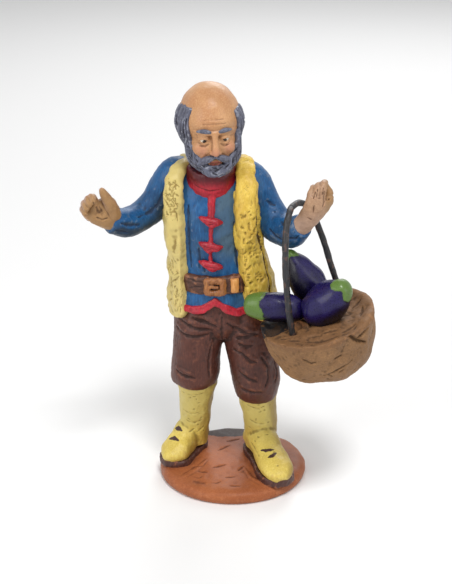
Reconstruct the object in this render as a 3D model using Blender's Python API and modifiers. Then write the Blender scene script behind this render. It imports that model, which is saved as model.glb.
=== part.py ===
"""Painted terracotta farmer with a basket of aubergines on his arm.

Metres, +Z up. The origin is the centre of the base's underside and the farmer faces -Y, so his
right hand is on the -X side. The farmer and his base are one piece of fired clay: every form below
is pressed onto the next one with a Boolean union. The basket, its wire handle and the three
aubergines are pieces of their own, which hang from his left forearm.
"""

import math

import bmesh
import bpy
from mathutils import Matrix, Vector

# Clearances
GAP = 0.0003
WIRE_CLEARANCE = 0.00025

# Base
BASE_WIDTH = 0.0322
BASE_DEPTH = 0.0316
BASE_HEIGHT = 0.0030
BASE_EDGE = 0.0011
BASE_CROWN = 0.0005
BASE_SIDES = 28

# Boots, with heel and toe as places on the top of the base
RIGHT_HEEL = (-0.0066, 0.0068)
RIGHT_TOE = (-0.0142, -0.0046)
LEFT_HEEL = (0.0050, 0.0056)
LEFT_TOE = (0.0103, -0.0131)
SOLE_THICKNESS = 0.0015
SOLE_WELT = 0.0004
FOOT_HALF_WIDTH = 0.0037
INSTEP_HEIGHT = 0.0080
BOOT_SINK = 0.0002
BOOT_TUCK = 0.0020

# Legs, as joint places with the half width of the trousers there
RIGHT_ANKLE = (-0.0084, 0.0034, 0.0120)
RIGHT_HEM = (-0.0082, 0.0006, 0.0226)
RIGHT_KNEE = (-0.0082, -0.0001, 0.0270)
RIGHT_HIP = (-0.0072, 0.0005, 0.0385)
LEFT_ANKLE = (0.0063, 0.0018, 0.0105)
LEFT_HEM = (0.0053, 0.0000, 0.0192)
LEFT_KNEE = (0.0050, -0.0006, 0.0240)
LEFT_HIP = (0.0028, 0.0005, 0.0385)
BOOT_HALF_WIDTH = 0.0036
TROUSER_HALF_WIDTH = 0.0051
HIP_HALF_WIDTH = 0.0058

# Trunk, as the centre of its section at each level
SEAT_CENTRE = (-0.0022, 0.0008, 0.0380)
WAIST_CENTRE = (-0.0036, 0.0006, 0.0470)
CHEST_CENTRE = (-0.0047, 0.0004, 0.0620)
SHOULDER_CENTRE = (-0.0047, 0.0012, 0.0695)
SEAT_HALF_WIDTH = 0.0100
WAIST_HALF_WIDTH = 0.0087
CHEST_HALF_WIDTH = 0.0092
TRUNK_FLATNESS = 0.76
NECK_HALF_WIDTH = 0.0036

# Jacket skirt, belt, collar and toggles
SKIRT_TOP = 0.0462
SKIRT_BOTTOM = 0.0402
SKIRT_NOTCH = 0.0030
SKIRT_NOTCH_HALF_WIDTH = 0.0046
SKIRT_FLARE = 0.0010
SKIRT_TUCK = 0.0035
SKIRT_SIDES = 28
HEM_BAND_HEIGHT = 0.0014
HEM_BAND_STAND = 0.0006
BELT_HEIGHT = 0.0044
BELT_STAND = 0.0007
BUCKLE_WIDTH = 0.0045
BUCKLE_HEIGHT = 0.0036
BUCKLE_BAR = 0.0011
BUCKLE_STAND = 0.0012
KEEPER_WIDTH = 0.0019
COLLAR_CENTRE = (-0.0046, -0.0010, 0.0694)
COLLAR_HALF_WIDTH = 0.0050
COLLAR_HEIGHT = 0.0030
COLLAR_TILT = math.radians(12)
PLACKET_WIDTH = 0.0013
PLACKET_STAND = 0.0006
TOGGLE_HEIGHTS = (0.0612, 0.0557, 0.0514)
TOGGLE_WIDTH = 0.0044
TOGGLE_HEIGHT = 0.0022
TOGGLE_STAND = 0.0012

# Waistcoat of fleece
VEST_TOP_FRONT = 0.0670
VEST_TOP_BACK = 0.0710
VEST_ARMHOLE = 0.0605
VEST_BOTTOM = 0.0392
VEST_WALL = 0.0044
VEST_STAND = 0.0015
VEST_EDGE_BEVEL = 0.0005
VEST_OPENING = math.radians(28)
VEST_SQUARENESS = 2.5
VEST_SHOULDER_TAPER = 0.30
ARMHOLE_SWEEP_FRONT = 1.3
ARMHOLE_SWEEP_BACK = 1.5
ARMHOLE_FILL = 0.0018
RIGHT_ARMHOLE = (-0.0122, -0.0034, 0.0642)
LEFT_ARMHOLE = (0.0031, -0.0036, 0.0640)

# Waistcoat at each height: how far it stands out on his right and left side, and its front edges
VEST_LEVELS = (
    (0.0385, 0.0019, 0.0023, -0.0096, 0.0037),
    (0.0420, 0.0018, 0.0026, -0.0098, 0.0028),
    (0.0465, 0.0018, 0.0033, -0.0100, 0.0020),
    (0.0510, 0.0014, 0.0022, -0.0100, 0.0015),
    (0.0550, 0.0012, 0.0017, -0.0099, 0.0009),
    (0.0600, 0.0010, 0.0014, -0.0101, 0.0004),
    (0.0660, 0.0010, 0.0013, -0.0104, 0.0003),
    (0.0715, 0.0010, 0.0011, -0.0109, 0.0009),
)

# Straps of fleece from the chest over the shoulder to the back: x, y, z, half thickness, half width
RIGHT_STRAP = (
    (-0.0122, -0.0057, 0.0590, 0.0012, 0.0020),
    (-0.0124, -0.0056, 0.0630, 0.0015, 0.0022),
    (-0.0122, -0.0050, 0.0666, 0.0015, 0.0022),
    (-0.0115, -0.0028, 0.0710, 0.0014, 0.0022),
    (-0.0107, 0.0011, 0.0733, 0.0013, 0.0022),
    (-0.0105, 0.0047, 0.0714, 0.0014, 0.0024),
    (-0.0110, 0.0066, 0.0650, 0.0014, 0.0025),
    (-0.0110, 0.0070, 0.0600, 0.0012, 0.0023),
)
LEFT_STRAP = (
    (0.0030, -0.0065, 0.0590, 0.0012, 0.0022),
    (0.0027, -0.0063, 0.0630, 0.0016, 0.0025),
    (0.0028, -0.0056, 0.0663, 0.0016, 0.0025),
    (0.0029, -0.0031, 0.0706, 0.0015, 0.0024),
    (0.0024, 0.0010, 0.0728, 0.0013, 0.0023),
    (0.0022, 0.0047, 0.0710, 0.0014, 0.0024),
    (0.0026, 0.0068, 0.0650, 0.0014, 0.0025),
    (0.0028, 0.0072, 0.0600, 0.0012, 0.0023),
)

# Sleeves from the shoulder's root to the cuff: x, y, z, half width
RIGHT_SLEEVE = (
    (-0.0074, 0.0012, 0.0684, 0.0038),
    (-0.0115, 0.0012, 0.0697, 0.0043),
    (-0.0155, 0.0012, 0.0669, 0.0039),
    (-0.0175, 0.0011, 0.0629, 0.0035),
    (-0.0192, 0.0003, 0.0602, 0.0034),
    (-0.0219, -0.0030, 0.0598, 0.0031),
    (-0.0244, -0.0059, 0.0610, 0.0029),
    (-0.0251, -0.0067, 0.0613, 0.0026),
)
LEFT_SLEEVE = (
    (-0.0016, 0.0012, 0.0678, 0.0039),
    (0.0023, 0.0012, 0.0689, 0.0044),
    (0.0063, 0.0014, 0.0664, 0.0040),
    (0.0081, 0.0010, 0.0618, 0.0037),
    (0.0095, -0.0010, 0.0574, 0.0040),
    (0.0119, -0.0050, 0.0581, 0.0037),
    (0.0137, -0.0084, 0.0606, 0.0030),
    (0.0143, -0.0093, 0.0612, 0.0027),
)

# Hands: palms as slabs with x, y, z, half width and half thickness, then the joints of each finger
RIGHT_PALM_LEAN = (0.2, -1.0, 0.1)
RIGHT_PALM = (
    (-0.0244, -0.0061, 0.0610, 0.0022, 0.0021),
    (-0.0255, -0.0073, 0.0620, 0.0027, 0.0020),
    (-0.0265, -0.0082, 0.0634, 0.0032, 0.0016),
    (-0.0273, -0.0085, 0.0649, 0.0031, 0.0013),
    (-0.0279, -0.0087, 0.0662, 0.0024, 0.0009),
)
RIGHT_FINGERS = (
    (
        (-0.0275, -0.0084, 0.0646), (-0.0281, -0.0090, 0.0666),
        (-0.0284, -0.0102, 0.0678), (-0.0280, -0.0112, 0.0669),
    ),
    (
        (-0.0285, -0.0083, 0.0641), (-0.0291, -0.0090, 0.0662),
        (-0.0292, -0.0103, 0.0673), (-0.0288, -0.0112, 0.0663),
    ),
    (
        (-0.0292, -0.0082, 0.0635), (-0.0298, -0.0090, 0.0654),
        (-0.0299, -0.0102, 0.0664), (-0.0295, -0.0111, 0.0654),
    ),
    (
        (-0.0292, -0.0081, 0.0627), (-0.0300, -0.0089, 0.0643),
        (-0.0302, -0.0100, 0.0651), (-0.0298, -0.0108, 0.0643),
    ),
)
RIGHT_THUMB = (
    (-0.0242, -0.0078, 0.0632),
    (-0.0246, -0.0088, 0.0652),
    (-0.0256, -0.0095, 0.0674),
    (-0.0265, -0.0099, 0.0693),
)
LEFT_PALM_LEAN = (-0.2, 1.0, 0.3)
LEFT_PALM = (
    (0.0136, -0.0084, 0.0607, 0.0022, 0.0020),
    (0.0147, -0.0095, 0.0624, 0.0021, 0.0018),
    (0.0159, -0.0103, 0.0644, 0.0025, 0.0016),
    (0.0168, -0.0108, 0.0664, 0.0027, 0.0014),
    (0.0173, -0.0110, 0.0679, 0.0025, 0.0011),
)
LEFT_FINGERS = (
    (
        (0.0152, -0.0107, 0.0662), (0.0156, -0.0110, 0.0683),
        (0.0161, -0.0101, 0.0695), (0.0163, -0.0088, 0.0692),
    ),
    (
        (0.0162, -0.0109, 0.0668), (0.0166, -0.0112, 0.0690),
        (0.0170, -0.0102, 0.0700), (0.0172, -0.0089, 0.0698),
    ),
    (
        (0.0173, -0.0109, 0.0670), (0.0178, -0.0111, 0.0694),
        (0.0181, -0.0102, 0.0705), (0.0183, -0.0089, 0.0702),
    ),
)
LEFT_THUMB = (
    (0.0178, -0.0100, 0.0648),
    (0.0189, -0.0099, 0.0664),
    (0.0192, -0.0098, 0.0682),
    (0.0188, -0.0096, 0.0697),
)
FINGER_RADII = (0.00095, 0.00092, 0.00084, 0.00062)
RIGHT_THUMB_RADII = (0.00150, 0.00140, 0.00110, 0.00060)
LEFT_THUMB_RADII = (0.00110, 0.00110, 0.00100, 0.00055)

# Head, in a frame that starts at its centre and looks along -Y
HEAD_CENTRE = (-0.0047, -0.0024, 0.0801)
HEAD_PITCH = math.radians(13)
HEAD_YAW = math.radians(9)
HEAD_ROLL = math.radians(-2)
SKULL_HALF_WIDTH = 0.0062
SKULL_HALF_DEPTH = 0.0073
SKULL_HALF_HEIGHT = 0.0067
FACE_HALF_WIDTH = 0.0049
FACE_HALF_HEIGHT = 0.0062
NOSE_LENGTH = 0.0037
NOSE_STAND = 0.0019
NOSE_HALF_WIDTH = 0.0010
HAIR_HALF_THICKNESS = 0.0015
HAIR_HALF_HEIGHT = 0.0045
HAIR_BACK_EXTRA = 0.0017
HAIR_RISE = 0.0004
HAIR_BACK_DROP = 0.0011
HAIR_WRAP = math.radians(29)
HAIR_STEPS = 9
BEARD_SIDE = (0.0053, -0.0014, 0.0010)
BEARD_CHEEK = (0.0049, -0.0023, -0.0024)
BEARD_JAW = (0.0038, -0.0040, -0.0053)
BEARD_CHIN = (0.0, -0.0055, -0.0065)
BEARD_HALF_THICKNESS = 0.0014
MOUSTACHE_RADIUS = 0.00078
BROW_RADIUS = 0.00055
EYE_HALF_WIDTH = 0.00095

# Basket, in a frame at the centre of its rim
BASKET_CENTRE = (0.0171, -0.0130, 0.0431)
BASKET_ROLL = math.radians(-13)
BASKET_PITCH = math.radians(6)
BASKET_RIM_RADIUS = 0.0120
BASKET_FOOT_RADIUS = 0.0052
BASKET_HEIGHT = 0.0128
BASKET_DISH = 0.0008
BASKET_RIM_WIDTH = 0.0026
BASKET_SIDES = 28

# Handle of bent wire: its ends are held in holes in the basket, and its crown lies over the
# farmer's wrist
WIRE_RADIUS = 0.00066
WIRE_HOLE_DEPTH = 0.0030
HANDLE_FRONT_FOOT = (-0.0055, -0.0036)
HANDLE_BACK_FOOT = (0.0056, 0.0082)
HANDLE_BENDS = (
    (0.0109, -0.0169, 0.0481),
    (0.0104, -0.0169, 0.0546),
    (0.0103, -0.0163, 0.0597),
    (0.0105, -0.0152, 0.0629),
    (0.0110, -0.0138, 0.0652),
    (0.0116, -0.0111, 0.0657),
    (0.0129, -0.0084, 0.0658),
    (0.0145, -0.0067, 0.0651),
    (0.0160, -0.0062, 0.0635),
    (0.0178, -0.0055, 0.0589),
    (0.0190, -0.0053, 0.0556),
    (0.0204, -0.0051, 0.0510),
)
WIRE_POINTS_PER_STRETCH = 3

# Aubergines, in the basket's frame: the middle of each, and where its stalk points
AUBERGINE_STEM_RADIUS = 0.0011
AUBERGINE_SIDES = 14
FRONT_AUBERGINE_CENTRE = (-0.0079, 0.0018, 0.0030)
FRONT_AUBERGINE_STALK = (-0.95, 0.16, 0.26)
FRONT_AUBERGINE_RADIUS = 0.0031
FRONT_AUBERGINE_HALF_LENGTH = 0.0062
MIDDLE_AUBERGINE_CENTRE = (0.0029, -0.0014, 0.0034)
MIDDLE_AUBERGINE_STALK = (0.72, -0.31, 0.61)
MIDDLE_AUBERGINE_RADIUS = 0.0044
MIDDLE_AUBERGINE_HALF_LENGTH = 0.0062
BACK_AUBERGINE_CENTRE = (-0.0011, 0.0074, 0.0049)
BACK_AUBERGINE_STALK = (-0.42, 0.03, 0.90)
BACK_AUBERGINE_RADIUS = 0.0038
BACK_AUBERGINE_HALF_LENGTH = 0.0075

for leftover in list(bpy.data.objects):
    bpy.data.objects.remove(leftover)

figurine = bpy.data.collections.new("farmer_figurine")
clay_forms = bpy.data.collections.new("clay_forms")
press_tools = bpy.data.collections.new("press_tools")
for collection in (figurine, clay_forms, press_tools):
    bpy.context.scene.collection.children.link(collection)


def paint(name, colour, roughness, metallic=0.0):
    """A painted finish as a plain Principled material."""
    material = bpy.data.materials.new(name)
    material.use_nodes = True
    shader = material.node_tree.nodes["Principled BSDF"]
    shader.inputs["Base Color"].default_value = (*colour, 1.0)
    shader.inputs["Roughness"].default_value = roughness
    shader.inputs["Metallic"].default_value = metallic
    return material


TERRACOTTA = paint("terracotta", (0.47, 0.20, 0.10), 0.75)
BASKET_CLAY = paint("basket_clay", (0.50, 0.30, 0.15), 0.80)
BLACK_WIRE = paint("black_wire", (0.03, 0.03, 0.03), 0.45, 0.3)
AUBERGINE_PURPLE = paint("aubergine_purple", (0.06, 0.02, 0.22), 0.40)


def as_object(name, bm, collection, material):
    """Stores a bmesh as an object, with its faces pointing out and its round sides smooth."""
    bmesh.ops.recalc_face_normals(bm, faces=bm.faces)
    mesh = bpy.data.meshes.new(name)
    bm.to_mesh(mesh)
    bm.free()
    mesh.materials.append(material)
    mesh.shade_smooth()
    mesh.set_sharp_from_angle(angle=math.radians(45))
    made = bpy.data.objects.new(name, mesh)
    collection.objects.link(made)
    return made


def clay_form(name, bm, softness=0):
    """A form of the farmer: it is only seen once it is joined to the others."""
    made = as_object(name, bm, clay_forms, TERRACOTTA)
    made.hide_render = True
    made.display_type = "WIRE"
    if softness:
        soften = made.modifiers.new("Soften", "SUBSURF")
        soften.levels = softness
        soften.render_levels = softness
    return made


def section_frame(centre, along, reference, half_u, half_v):
    """Matrix that lays a unit circle across a path: V leans to the reference, U is square to both."""
    along = along.normalized()
    v_axis = (reference - along * reference.dot(along)).normalized()
    u_axis = v_axis.cross(along)
    columns = Matrix((u_axis * half_u, v_axis * half_v, along * half_u)).transposed()
    return Matrix.Translation(centre) @ columns.to_4x4()


def directions(points):
    """The path's direction at each of its points."""
    last = len(points) - 1
    return [points[min(i + 1, last)] - points[max(i - 1, 0)] for i in range(last + 1)]


def add_loft(bm, sections, sides=8, reference=(0, 1, 0), level=False):
    """Extrudes a circle through sections of (centre, half U, half V); level keeps each one flat."""
    centres = [Vector(centre) for centre, _, _ in sections]
    path = [Vector((0, 0, 1))] * len(centres) if level else directions(centres)
    frames = [
        section_frame(centre, along, Vector(reference), half_u, half_v)
        for centre, along, (_, half_u, half_v) in zip(centres, path, sections)
    ]
    ring = bmesh.ops.create_circle(
        bm, cap_ends=True, radius=1.0, segments=sides, matrix=frames[0]
    )["verts"]
    edges = [edge for edge in bm.edges if edge.verts[0] in ring and edge.verts[1] in ring]
    for before, after in zip(frames, frames[1:]):
        grown = bmesh.ops.extrude_edge_only(bm, edges=edges)["geom"]
        ring = {item for item in grown if isinstance(item, bmesh.types.BMVert)}
        bmesh.ops.transform(bm, matrix=after @ before.inverted(), verts=list(ring))
        edges = [
            item
            for item in grown
            if isinstance(item, bmesh.types.BMEdge) and set(item.verts) <= ring
        ]
    bmesh.ops.contextual_create(bm, geom=edges)


def rounded(sections, sides=8):
    """Sections a little larger, to make up for what one level of subdivision takes off."""
    grow = 1 / ((3 + math.cos(2 * math.pi / sides)) / 4)
    return [(centre, half_u * grow, half_v * grow) for centre, half_u, half_v in sections]


def loft_form(name, sections, sides=8, reference=(0, 1, 0), level=False, softness=1):
    bm = bmesh.new()
    if softness:
        sections = rounded(sections, sides)
    add_loft(bm, sections, sides, reference, level)
    return clay_form(name, bm, softness)


def ball_form(name, centre, radii, turn=Matrix(), segments=14, rings=9):
    """An ellipsoid of clay; turn is the frame that its centre and radii are given in."""
    bm = bmesh.new()
    place = turn @ Matrix.Translation(centre) @ Matrix.Diagonal((*radii, 1.0))
    bmesh.ops.create_uvsphere(bm, u_segments=segments, v_segments=rings, radius=1.0, matrix=place)
    return clay_form(name, bm)


def between(start, end, share):
    return Vector(start).lerp(Vector(end), share)


def boolean(target, operation, tool):
    cut = target.modifiers.new(f"{operation.title()} {tool.name}", "BOOLEAN")
    cut.operation = operation
    cut.solver = "EXACT"
    if isinstance(tool, bpy.types.Collection):
        cut.operand_type = "COLLECTION"
        cut.collection = tool
    else:
        cut.object = tool


# Base: a hand-flattened disc with a rolled edge
def build_base():
    half_width, half_depth = BASE_WIDTH / 2, BASE_DEPTH / 2
    levels = (
        (0.0, BASE_EDGE * 0.5),
        (BASE_EDGE * 0.5, 0.0),
        (BASE_HEIGHT - BASE_EDGE, 0.0),
        (BASE_HEIGHT - BASE_EDGE * 0.3, BASE_EDGE * 0.8),
        (BASE_HEIGHT, BASE_EDGE * 2.4),
        (BASE_HEIGHT + BASE_CROWN, half_width * 0.45),
    )
    sections = [((0, 0, z), half_width - inset, half_depth - inset) for z, inset in levels]
    bm = bmesh.new()
    add_loft(bm, sections, BASE_SIDES, level=True)
    return as_object("farmer", bm, figurine, TERRACOTTA)


# Boots: a sole, a foot and a shaft that goes up into the trousers
def build_boot(side, heel, toe, ankle, hem):
    floor = BASE_HEIGHT - BOOT_SINK
    heel = Vector((*heel, floor))
    toe = Vector((*toe, floor))
    along = (toe - heel).normalized()
    across = along.cross(Vector((0, 0, 1)))
    foot_length = (toe - heel).length

    outline = (
        (-0.03, 0.45), (0.05, 0.80), (0.30, 0.88), (0.55, 0.92),
        (0.75, 1.05), (0.90, 0.92), (0.99, 0.60), (1.03, 0.25),
    )
    bm = bmesh.new()
    rim = [
        (share, sign * width)
        for sign, row in ((1, outline), (-1, tuple(reversed(outline))))
        for share, width in row
    ]
    corners = [
        bm.verts.new(
            heel
            + along * (foot_length * share)
            + across * (width * FOOT_HALF_WIDTH + math.copysign(SOLE_WELT, width))
        )
        for share, width in rim
    ]
    sole = bm.faces.new(corners)
    raised = bmesh.ops.extrude_face_region(bm, geom=[sole])["geom"]
    top = [item for item in raised if isinstance(item, bmesh.types.BMVert)]
    bmesh.ops.translate(bm, vec=(0, 0, BOOT_SINK + SOLE_THICKNESS), verts=top)
    clay_form(f"{side}_sole", bm)

    profile = (
        (-0.09, 0.60, 0.50), (0.02, 0.88, 0.76), (0.22, 0.95, 1.04), (0.42, 0.91, 0.98),
        (0.60, 0.95, 0.75), (0.78, 1.03, 0.62), (0.93, 0.90, 0.50), (1.05, 0.56, 0.36),
    )
    sections = []
    for share, width, height in profile:
        half_height = INSTEP_HEIGHT * height / 2
        centre = heel + along * (foot_length * share)
        centre.z = floor + BOOT_SINK + half_height + SOLE_THICKNESS / 2
        sections.append((centre, FOOT_HALF_WIDTH * width, half_height))
    loft_form(f"{side}_foot", sections, reference=(0, 0, 1))

    ankle, hem = Vector(ankle), Vector(hem)
    foot_top = between(heel, toe, 0.24)
    foot_top.z = floor + SOLE_THICKNESS
    shaft = (
        (foot_top, BOOT_HALF_WIDTH * 0.86, BOOT_HALF_WIDTH * 0.95),
        (between(foot_top, ankle, 0.6), BOOT_HALF_WIDTH * 0.92, BOOT_HALF_WIDTH * 1.02),
        (ankle, BOOT_HALF_WIDTH * 0.96, BOOT_HALF_WIDTH * 1.02),
        (between(ankle, hem, 0.5), BOOT_HALF_WIDTH * 1.06, BOOT_HALF_WIDTH * 1.12),
        (hem, BOOT_HALF_WIDTH * 1.30, BOOT_HALF_WIDTH * 1.28),
        (hem + (hem - ankle).normalized() * BOOT_TUCK, BOOT_HALF_WIDTH, BOOT_HALF_WIDTH),
    )
    loft_form(f"{side}_boot_shaft", shaft, level=True)


# Trousers: two legs bloused over the boots, and a seat
def build_trouser_leg(side, hip, knee, hem):
    hip, knee, hem = Vector(hip), Vector(knee), Vector(hem)
    above_hip = hip + Vector((0, 0, HIP_HALF_WIDTH * 0.6))
    sections = (
        (above_hip, HIP_HALF_WIDTH * 0.90, HIP_HALF_WIDTH * 1.00),
        (hip, HIP_HALF_WIDTH, HIP_HALF_WIDTH * 1.08),
        (between(hip, knee, 0.5), (HIP_HALF_WIDTH + TROUSER_HALF_WIDTH) / 2, HIP_HALF_WIDTH),
        (knee, TROUSER_HALF_WIDTH, TROUSER_HALF_WIDTH * 1.06),
        (between(knee, hem, 0.55), TROUSER_HALF_WIDTH * 1.06, TROUSER_HALF_WIDTH * 1.12),
        (between(knee, hem, 0.92), TROUSER_HALF_WIDTH * 1.02, TROUSER_HALF_WIDTH * 1.06),
        (between(knee, hem, 1.10), TROUSER_HALF_WIDTH * 0.78, TROUSER_HALF_WIDTH * 0.82),
    )
    loft_form(f"{side}_trouser_leg", sections, level=True)


def trunk_section(height):
    """Centre and half sizes of the jacket's body at a height."""
    levels = (
        (SEAT_CENTRE, SEAT_HALF_WIDTH),
        (WAIST_CENTRE, WAIST_HALF_WIDTH),
        (CHEST_CENTRE, CHEST_HALF_WIDTH),
        (SHOULDER_CENTRE, CHEST_HALF_WIDTH * 0.94),
    )
    for (low, low_half), (high, high_half) in zip(levels, levels[1:]):
        if height <= high[2] or high is SHOULDER_CENTRE:
            share = max(0.0, min(1.0, (height - low[2]) / (high[2] - low[2])))
            ease = share * share * (3 - 2 * share)
            centre = between(low, high, ease)
            half = low_half + (high_half - low_half) * ease
            return Vector((centre.x, centre.y, height)), half, half * TRUNK_FLATNESS


def build_trunk():
    seat = Vector(SEAT_CENTRE)
    below = Vector((0, 0, -HIP_HALF_WIDTH * 0.75))
    seat_sections = (
        (seat + below, SEAT_HALF_WIDTH * 0.74, SEAT_HALF_WIDTH * 0.60),
        (seat, SEAT_HALF_WIDTH, SEAT_HALF_WIDTH * TRUNK_FLATNESS),
        trunk_section((seat.z + WAIST_CENTRE[2]) / 2),
        trunk_section(WAIST_CENTRE[2]),
    )
    loft_form("trouser_seat", seat_sections, 12, level=True)

    waist, chest, shoulder = Vector(WAIST_CENTRE), Vector(CHEST_CENTRE), Vector(SHOULDER_CENTRE)
    neck = shoulder + Vector((0, 0, NECK_HALF_WIDTH * 0.8))
    jacket = (
        trunk_section(between(seat, waist, 0.6).z),
        trunk_section(waist.z),
        trunk_section(between(waist, chest, 0.33).z),
        trunk_section(between(waist, chest, 0.72).z),
        trunk_section(between(chest, shoulder, 0.20).z),
        (between(chest, shoulder, 0.78), CHEST_HALF_WIDTH * 0.98, CHEST_HALF_WIDTH * 0.66),
        (shoulder, CHEST_HALF_WIDTH * 0.80, CHEST_HALF_WIDTH * 0.54),
        (neck, NECK_HALF_WIDTH * 1.2, NECK_HALF_WIDTH * 1.1),
        (neck + Vector((0, -0.6, 1.9)) * NECK_HALF_WIDTH, NECK_HALF_WIDTH, NECK_HALF_WIDTH),
    )
    loft_form("jacket_body", jacket, 16, level=True)


def front_of_trunk(x, height, stand=0.0):
    """The point of the jacket's front that is at this x and height, stood out by a little."""
    centre, half_u, half_v = trunk_section(height)
    share = max(-0.98, min(0.98, (x - centre.x) / half_u))
    return Vector((x, centre.y - half_v * math.sqrt(1 - share * share) - stand, height))


# Jacket skirt: it hangs below the belt, with a raised red hem that rises to a point at the front
def build_skirt():
    centre, half_u, half_v = trunk_section(SKIRT_TOP)

    def lower_edge(x, y):
        """The hem's height: level round the body, with an upturned V at the front."""
        off_centre = abs(x - WAIST_CENTRE[0]) / SKIRT_NOTCH_HALF_WIDTH
        in_front = y < WAIST_CENTRE[1]
        return SKIRT_BOTTOM + SKIRT_NOTCH * max(0.0, 1 - off_centre) * in_front

    flare = SKIRT_FLARE + HEM_BAND_STAND
    rows = (
        (0.0, lambda x, y: SKIRT_TOP),
        (SKIRT_FLARE, lambda x, y: lower_edge(x, y) + HEM_BAND_HEIGHT * 1.2),
        (flare, lambda x, y: lower_edge(x, y) + HEM_BAND_HEIGHT),
        (flare, lower_edge),
        (-SKIRT_TUCK, lambda x, y: SKIRT_TOP - SKIRT_TUCK * 0.5),
    )
    bm = bmesh.new()
    rings = []
    for grow, height_at in rows:
        ring = []
        for side in range(SKIRT_SIDES):
            angle = 2 * math.pi * side / SKIRT_SIDES
            x = centre.x + (half_u + grow) * math.sin(angle)
            y = centre.y - (half_v + grow) * math.cos(angle)
            ring.append(bm.verts.new((x, y, height_at(x, y))))
        rings.append(ring)
    for upper, lower in zip(rings, rings[1:]):
        for side in range(SKIRT_SIDES):
            following = (side + 1) % SKIRT_SIDES
            bm.faces.new((upper[side], upper[following], lower[following], lower[side]))
    bm.faces.new(rings[0])
    bm.faces.new(rings[-1])
    clay_form("jacket_skirt", bm)


def build_belt():
    middle = (SKIRT_TOP + BELT_HEIGHT * 0.18)
    centre, half_u, half_v = trunk_section(middle)
    low = Vector((centre.x, centre.y, middle - BELT_HEIGHT / 2))
    high = Vector((centre.x, centre.y, middle + BELT_HEIGHT / 2))
    half_u += BELT_STAND
    half_v += BELT_STAND
    edge = BELT_STAND * 0.5
    sections = (
        (low, half_u - edge, half_v - edge),
        (low + Vector((0, 0, edge)), half_u, half_v),
        (high - Vector((0, 0, edge)), half_u, half_v),
        (high, half_u - edge, half_v - edge),
    )
    loft_form("belt", sections, 28, level=True, softness=0)

    front = front_of_trunk(centre.x, middle, BELT_STAND)
    bar = BUCKLE_BAR
    rise = (BUCKLE_HEIGHT - bar) / 2
    run = (BUCKLE_WIDTH - bar) / 2
    for name, offset, size in (
        ("buckle_top", (0, rise), (BUCKLE_WIDTH, bar)),
        ("buckle_foot", (0, -rise), (BUCKLE_WIDTH, bar)),
        ("buckle_right", (-run, 0), (bar, BUCKLE_HEIGHT * 0.9)),
        ("buckle_left", (run, 0), (bar, BUCKLE_HEIGHT * 0.9)),
        ("belt_keeper", (BUCKLE_WIDTH * 0.78, 0), (KEEPER_WIDTH, BELT_HEIGHT * 1.05)),
    ):
        place = front_of_trunk(centre.x + offset[0], middle, BELT_STAND)
        place.z = front.z + offset[1]
        bm = bmesh.new()
        shape = Matrix.Diagonal((size[0], BUCKLE_STAND, size[1], 1.0))
        bmesh.ops.create_cube(bm, size=1.0, matrix=Matrix.Translation(place) @ shape)
        clay_form(name, bm)


def build_front_trim():
    """Red collar, button band and three toggles."""
    collar = Vector(COLLAR_CENTRE)
    lean = Matrix.Rotation(COLLAR_TILT, 3, "X")
    up = lean @ Vector((0, 0, 1))
    rise = COLLAR_HEIGHT / 2
    sections = (
        (collar - up * rise, COLLAR_HALF_WIDTH * 0.96, COLLAR_HALF_WIDTH * 0.94),
        (collar - up * rise * 0.4, COLLAR_HALF_WIDTH * 1.04, COLLAR_HALF_WIDTH * 1.04),
        (collar + up * rise * 0.6, COLLAR_HALF_WIDTH * 0.98, COLLAR_HALF_WIDTH),
        (collar + up * rise, COLLAR_HALF_WIDTH * 0.90, COLLAR_HALF_WIDTH * 0.92),
    )
    loft_form("collar", sections, 16, softness=0)

    top = COLLAR_CENTRE[2]
    bottom = TOGGLE_HEIGHTS[-1]
    steps = 5
    band = [
        front_of_trunk(CHEST_CENTRE[0], top + (bottom - top) * i / steps, -PLACKET_STAND * 0.4)
        for i in range(steps + 1)
    ]
    sections = [(point, PLACKET_WIDTH / 2, PLACKET_STAND) for point in band]
    loft_form("button_band", sections, 6, softness=0)
    for number, height in enumerate(TOGGLE_HEIGHTS):
        place = front_of_trunk(CHEST_CENTRE[0], height, TOGGLE_STAND * 0.25)
        radii = (TOGGLE_WIDTH / 2, TOGGLE_STAND, TOGGLE_HEIGHT / 2)
        ball_form(f"toggle_{number + 1}", place, radii, segments=10, rings=6)


# Waistcoat: a thick wrap that is open at the front, with a strap of fleece over each shoulder
def vest_row(height):
    """The waistcoat's row of VEST_LEVELS at a height, without the height itself."""
    rows = VEST_LEVELS
    for low, high in zip(rows, rows[1:]):
        if height <= high[0] or high is rows[-1]:
            share = max(0.0, min(1.0, (height - low[0]) / (high[0] - low[0])))
            return [first + (then - first) * share for first, then in zip(low[1:], high[1:])]


def vest_section(height):
    """Centre and half sizes of the waistcoat at a height, before it stands out at the sides."""
    centre, half_u, half_v = trunk_section(height)
    share = max(0.0, (height - CHEST_CENTRE[2]) / (VEST_TOP_BACK - CHEST_CENTRE[2]))
    taper = 1 - VEST_SHOULDER_TAPER * share ** 3
    return centre, half_u * taper, half_v * taper + VEST_STAND


def vest_edge_angle(height, edge, stand):
    """Where round the trunk a front edge of the waistcoat is, from straight ahead."""
    centre, half_u, _ = vest_section(height)
    share = (edge - centre.x) / (half_u + stand)
    depth = (1 - min(0.98, abs(share)) ** VEST_SQUARENESS) ** (1 / VEST_SQUARENESS)
    return math.atan2(share, depth)


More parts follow.
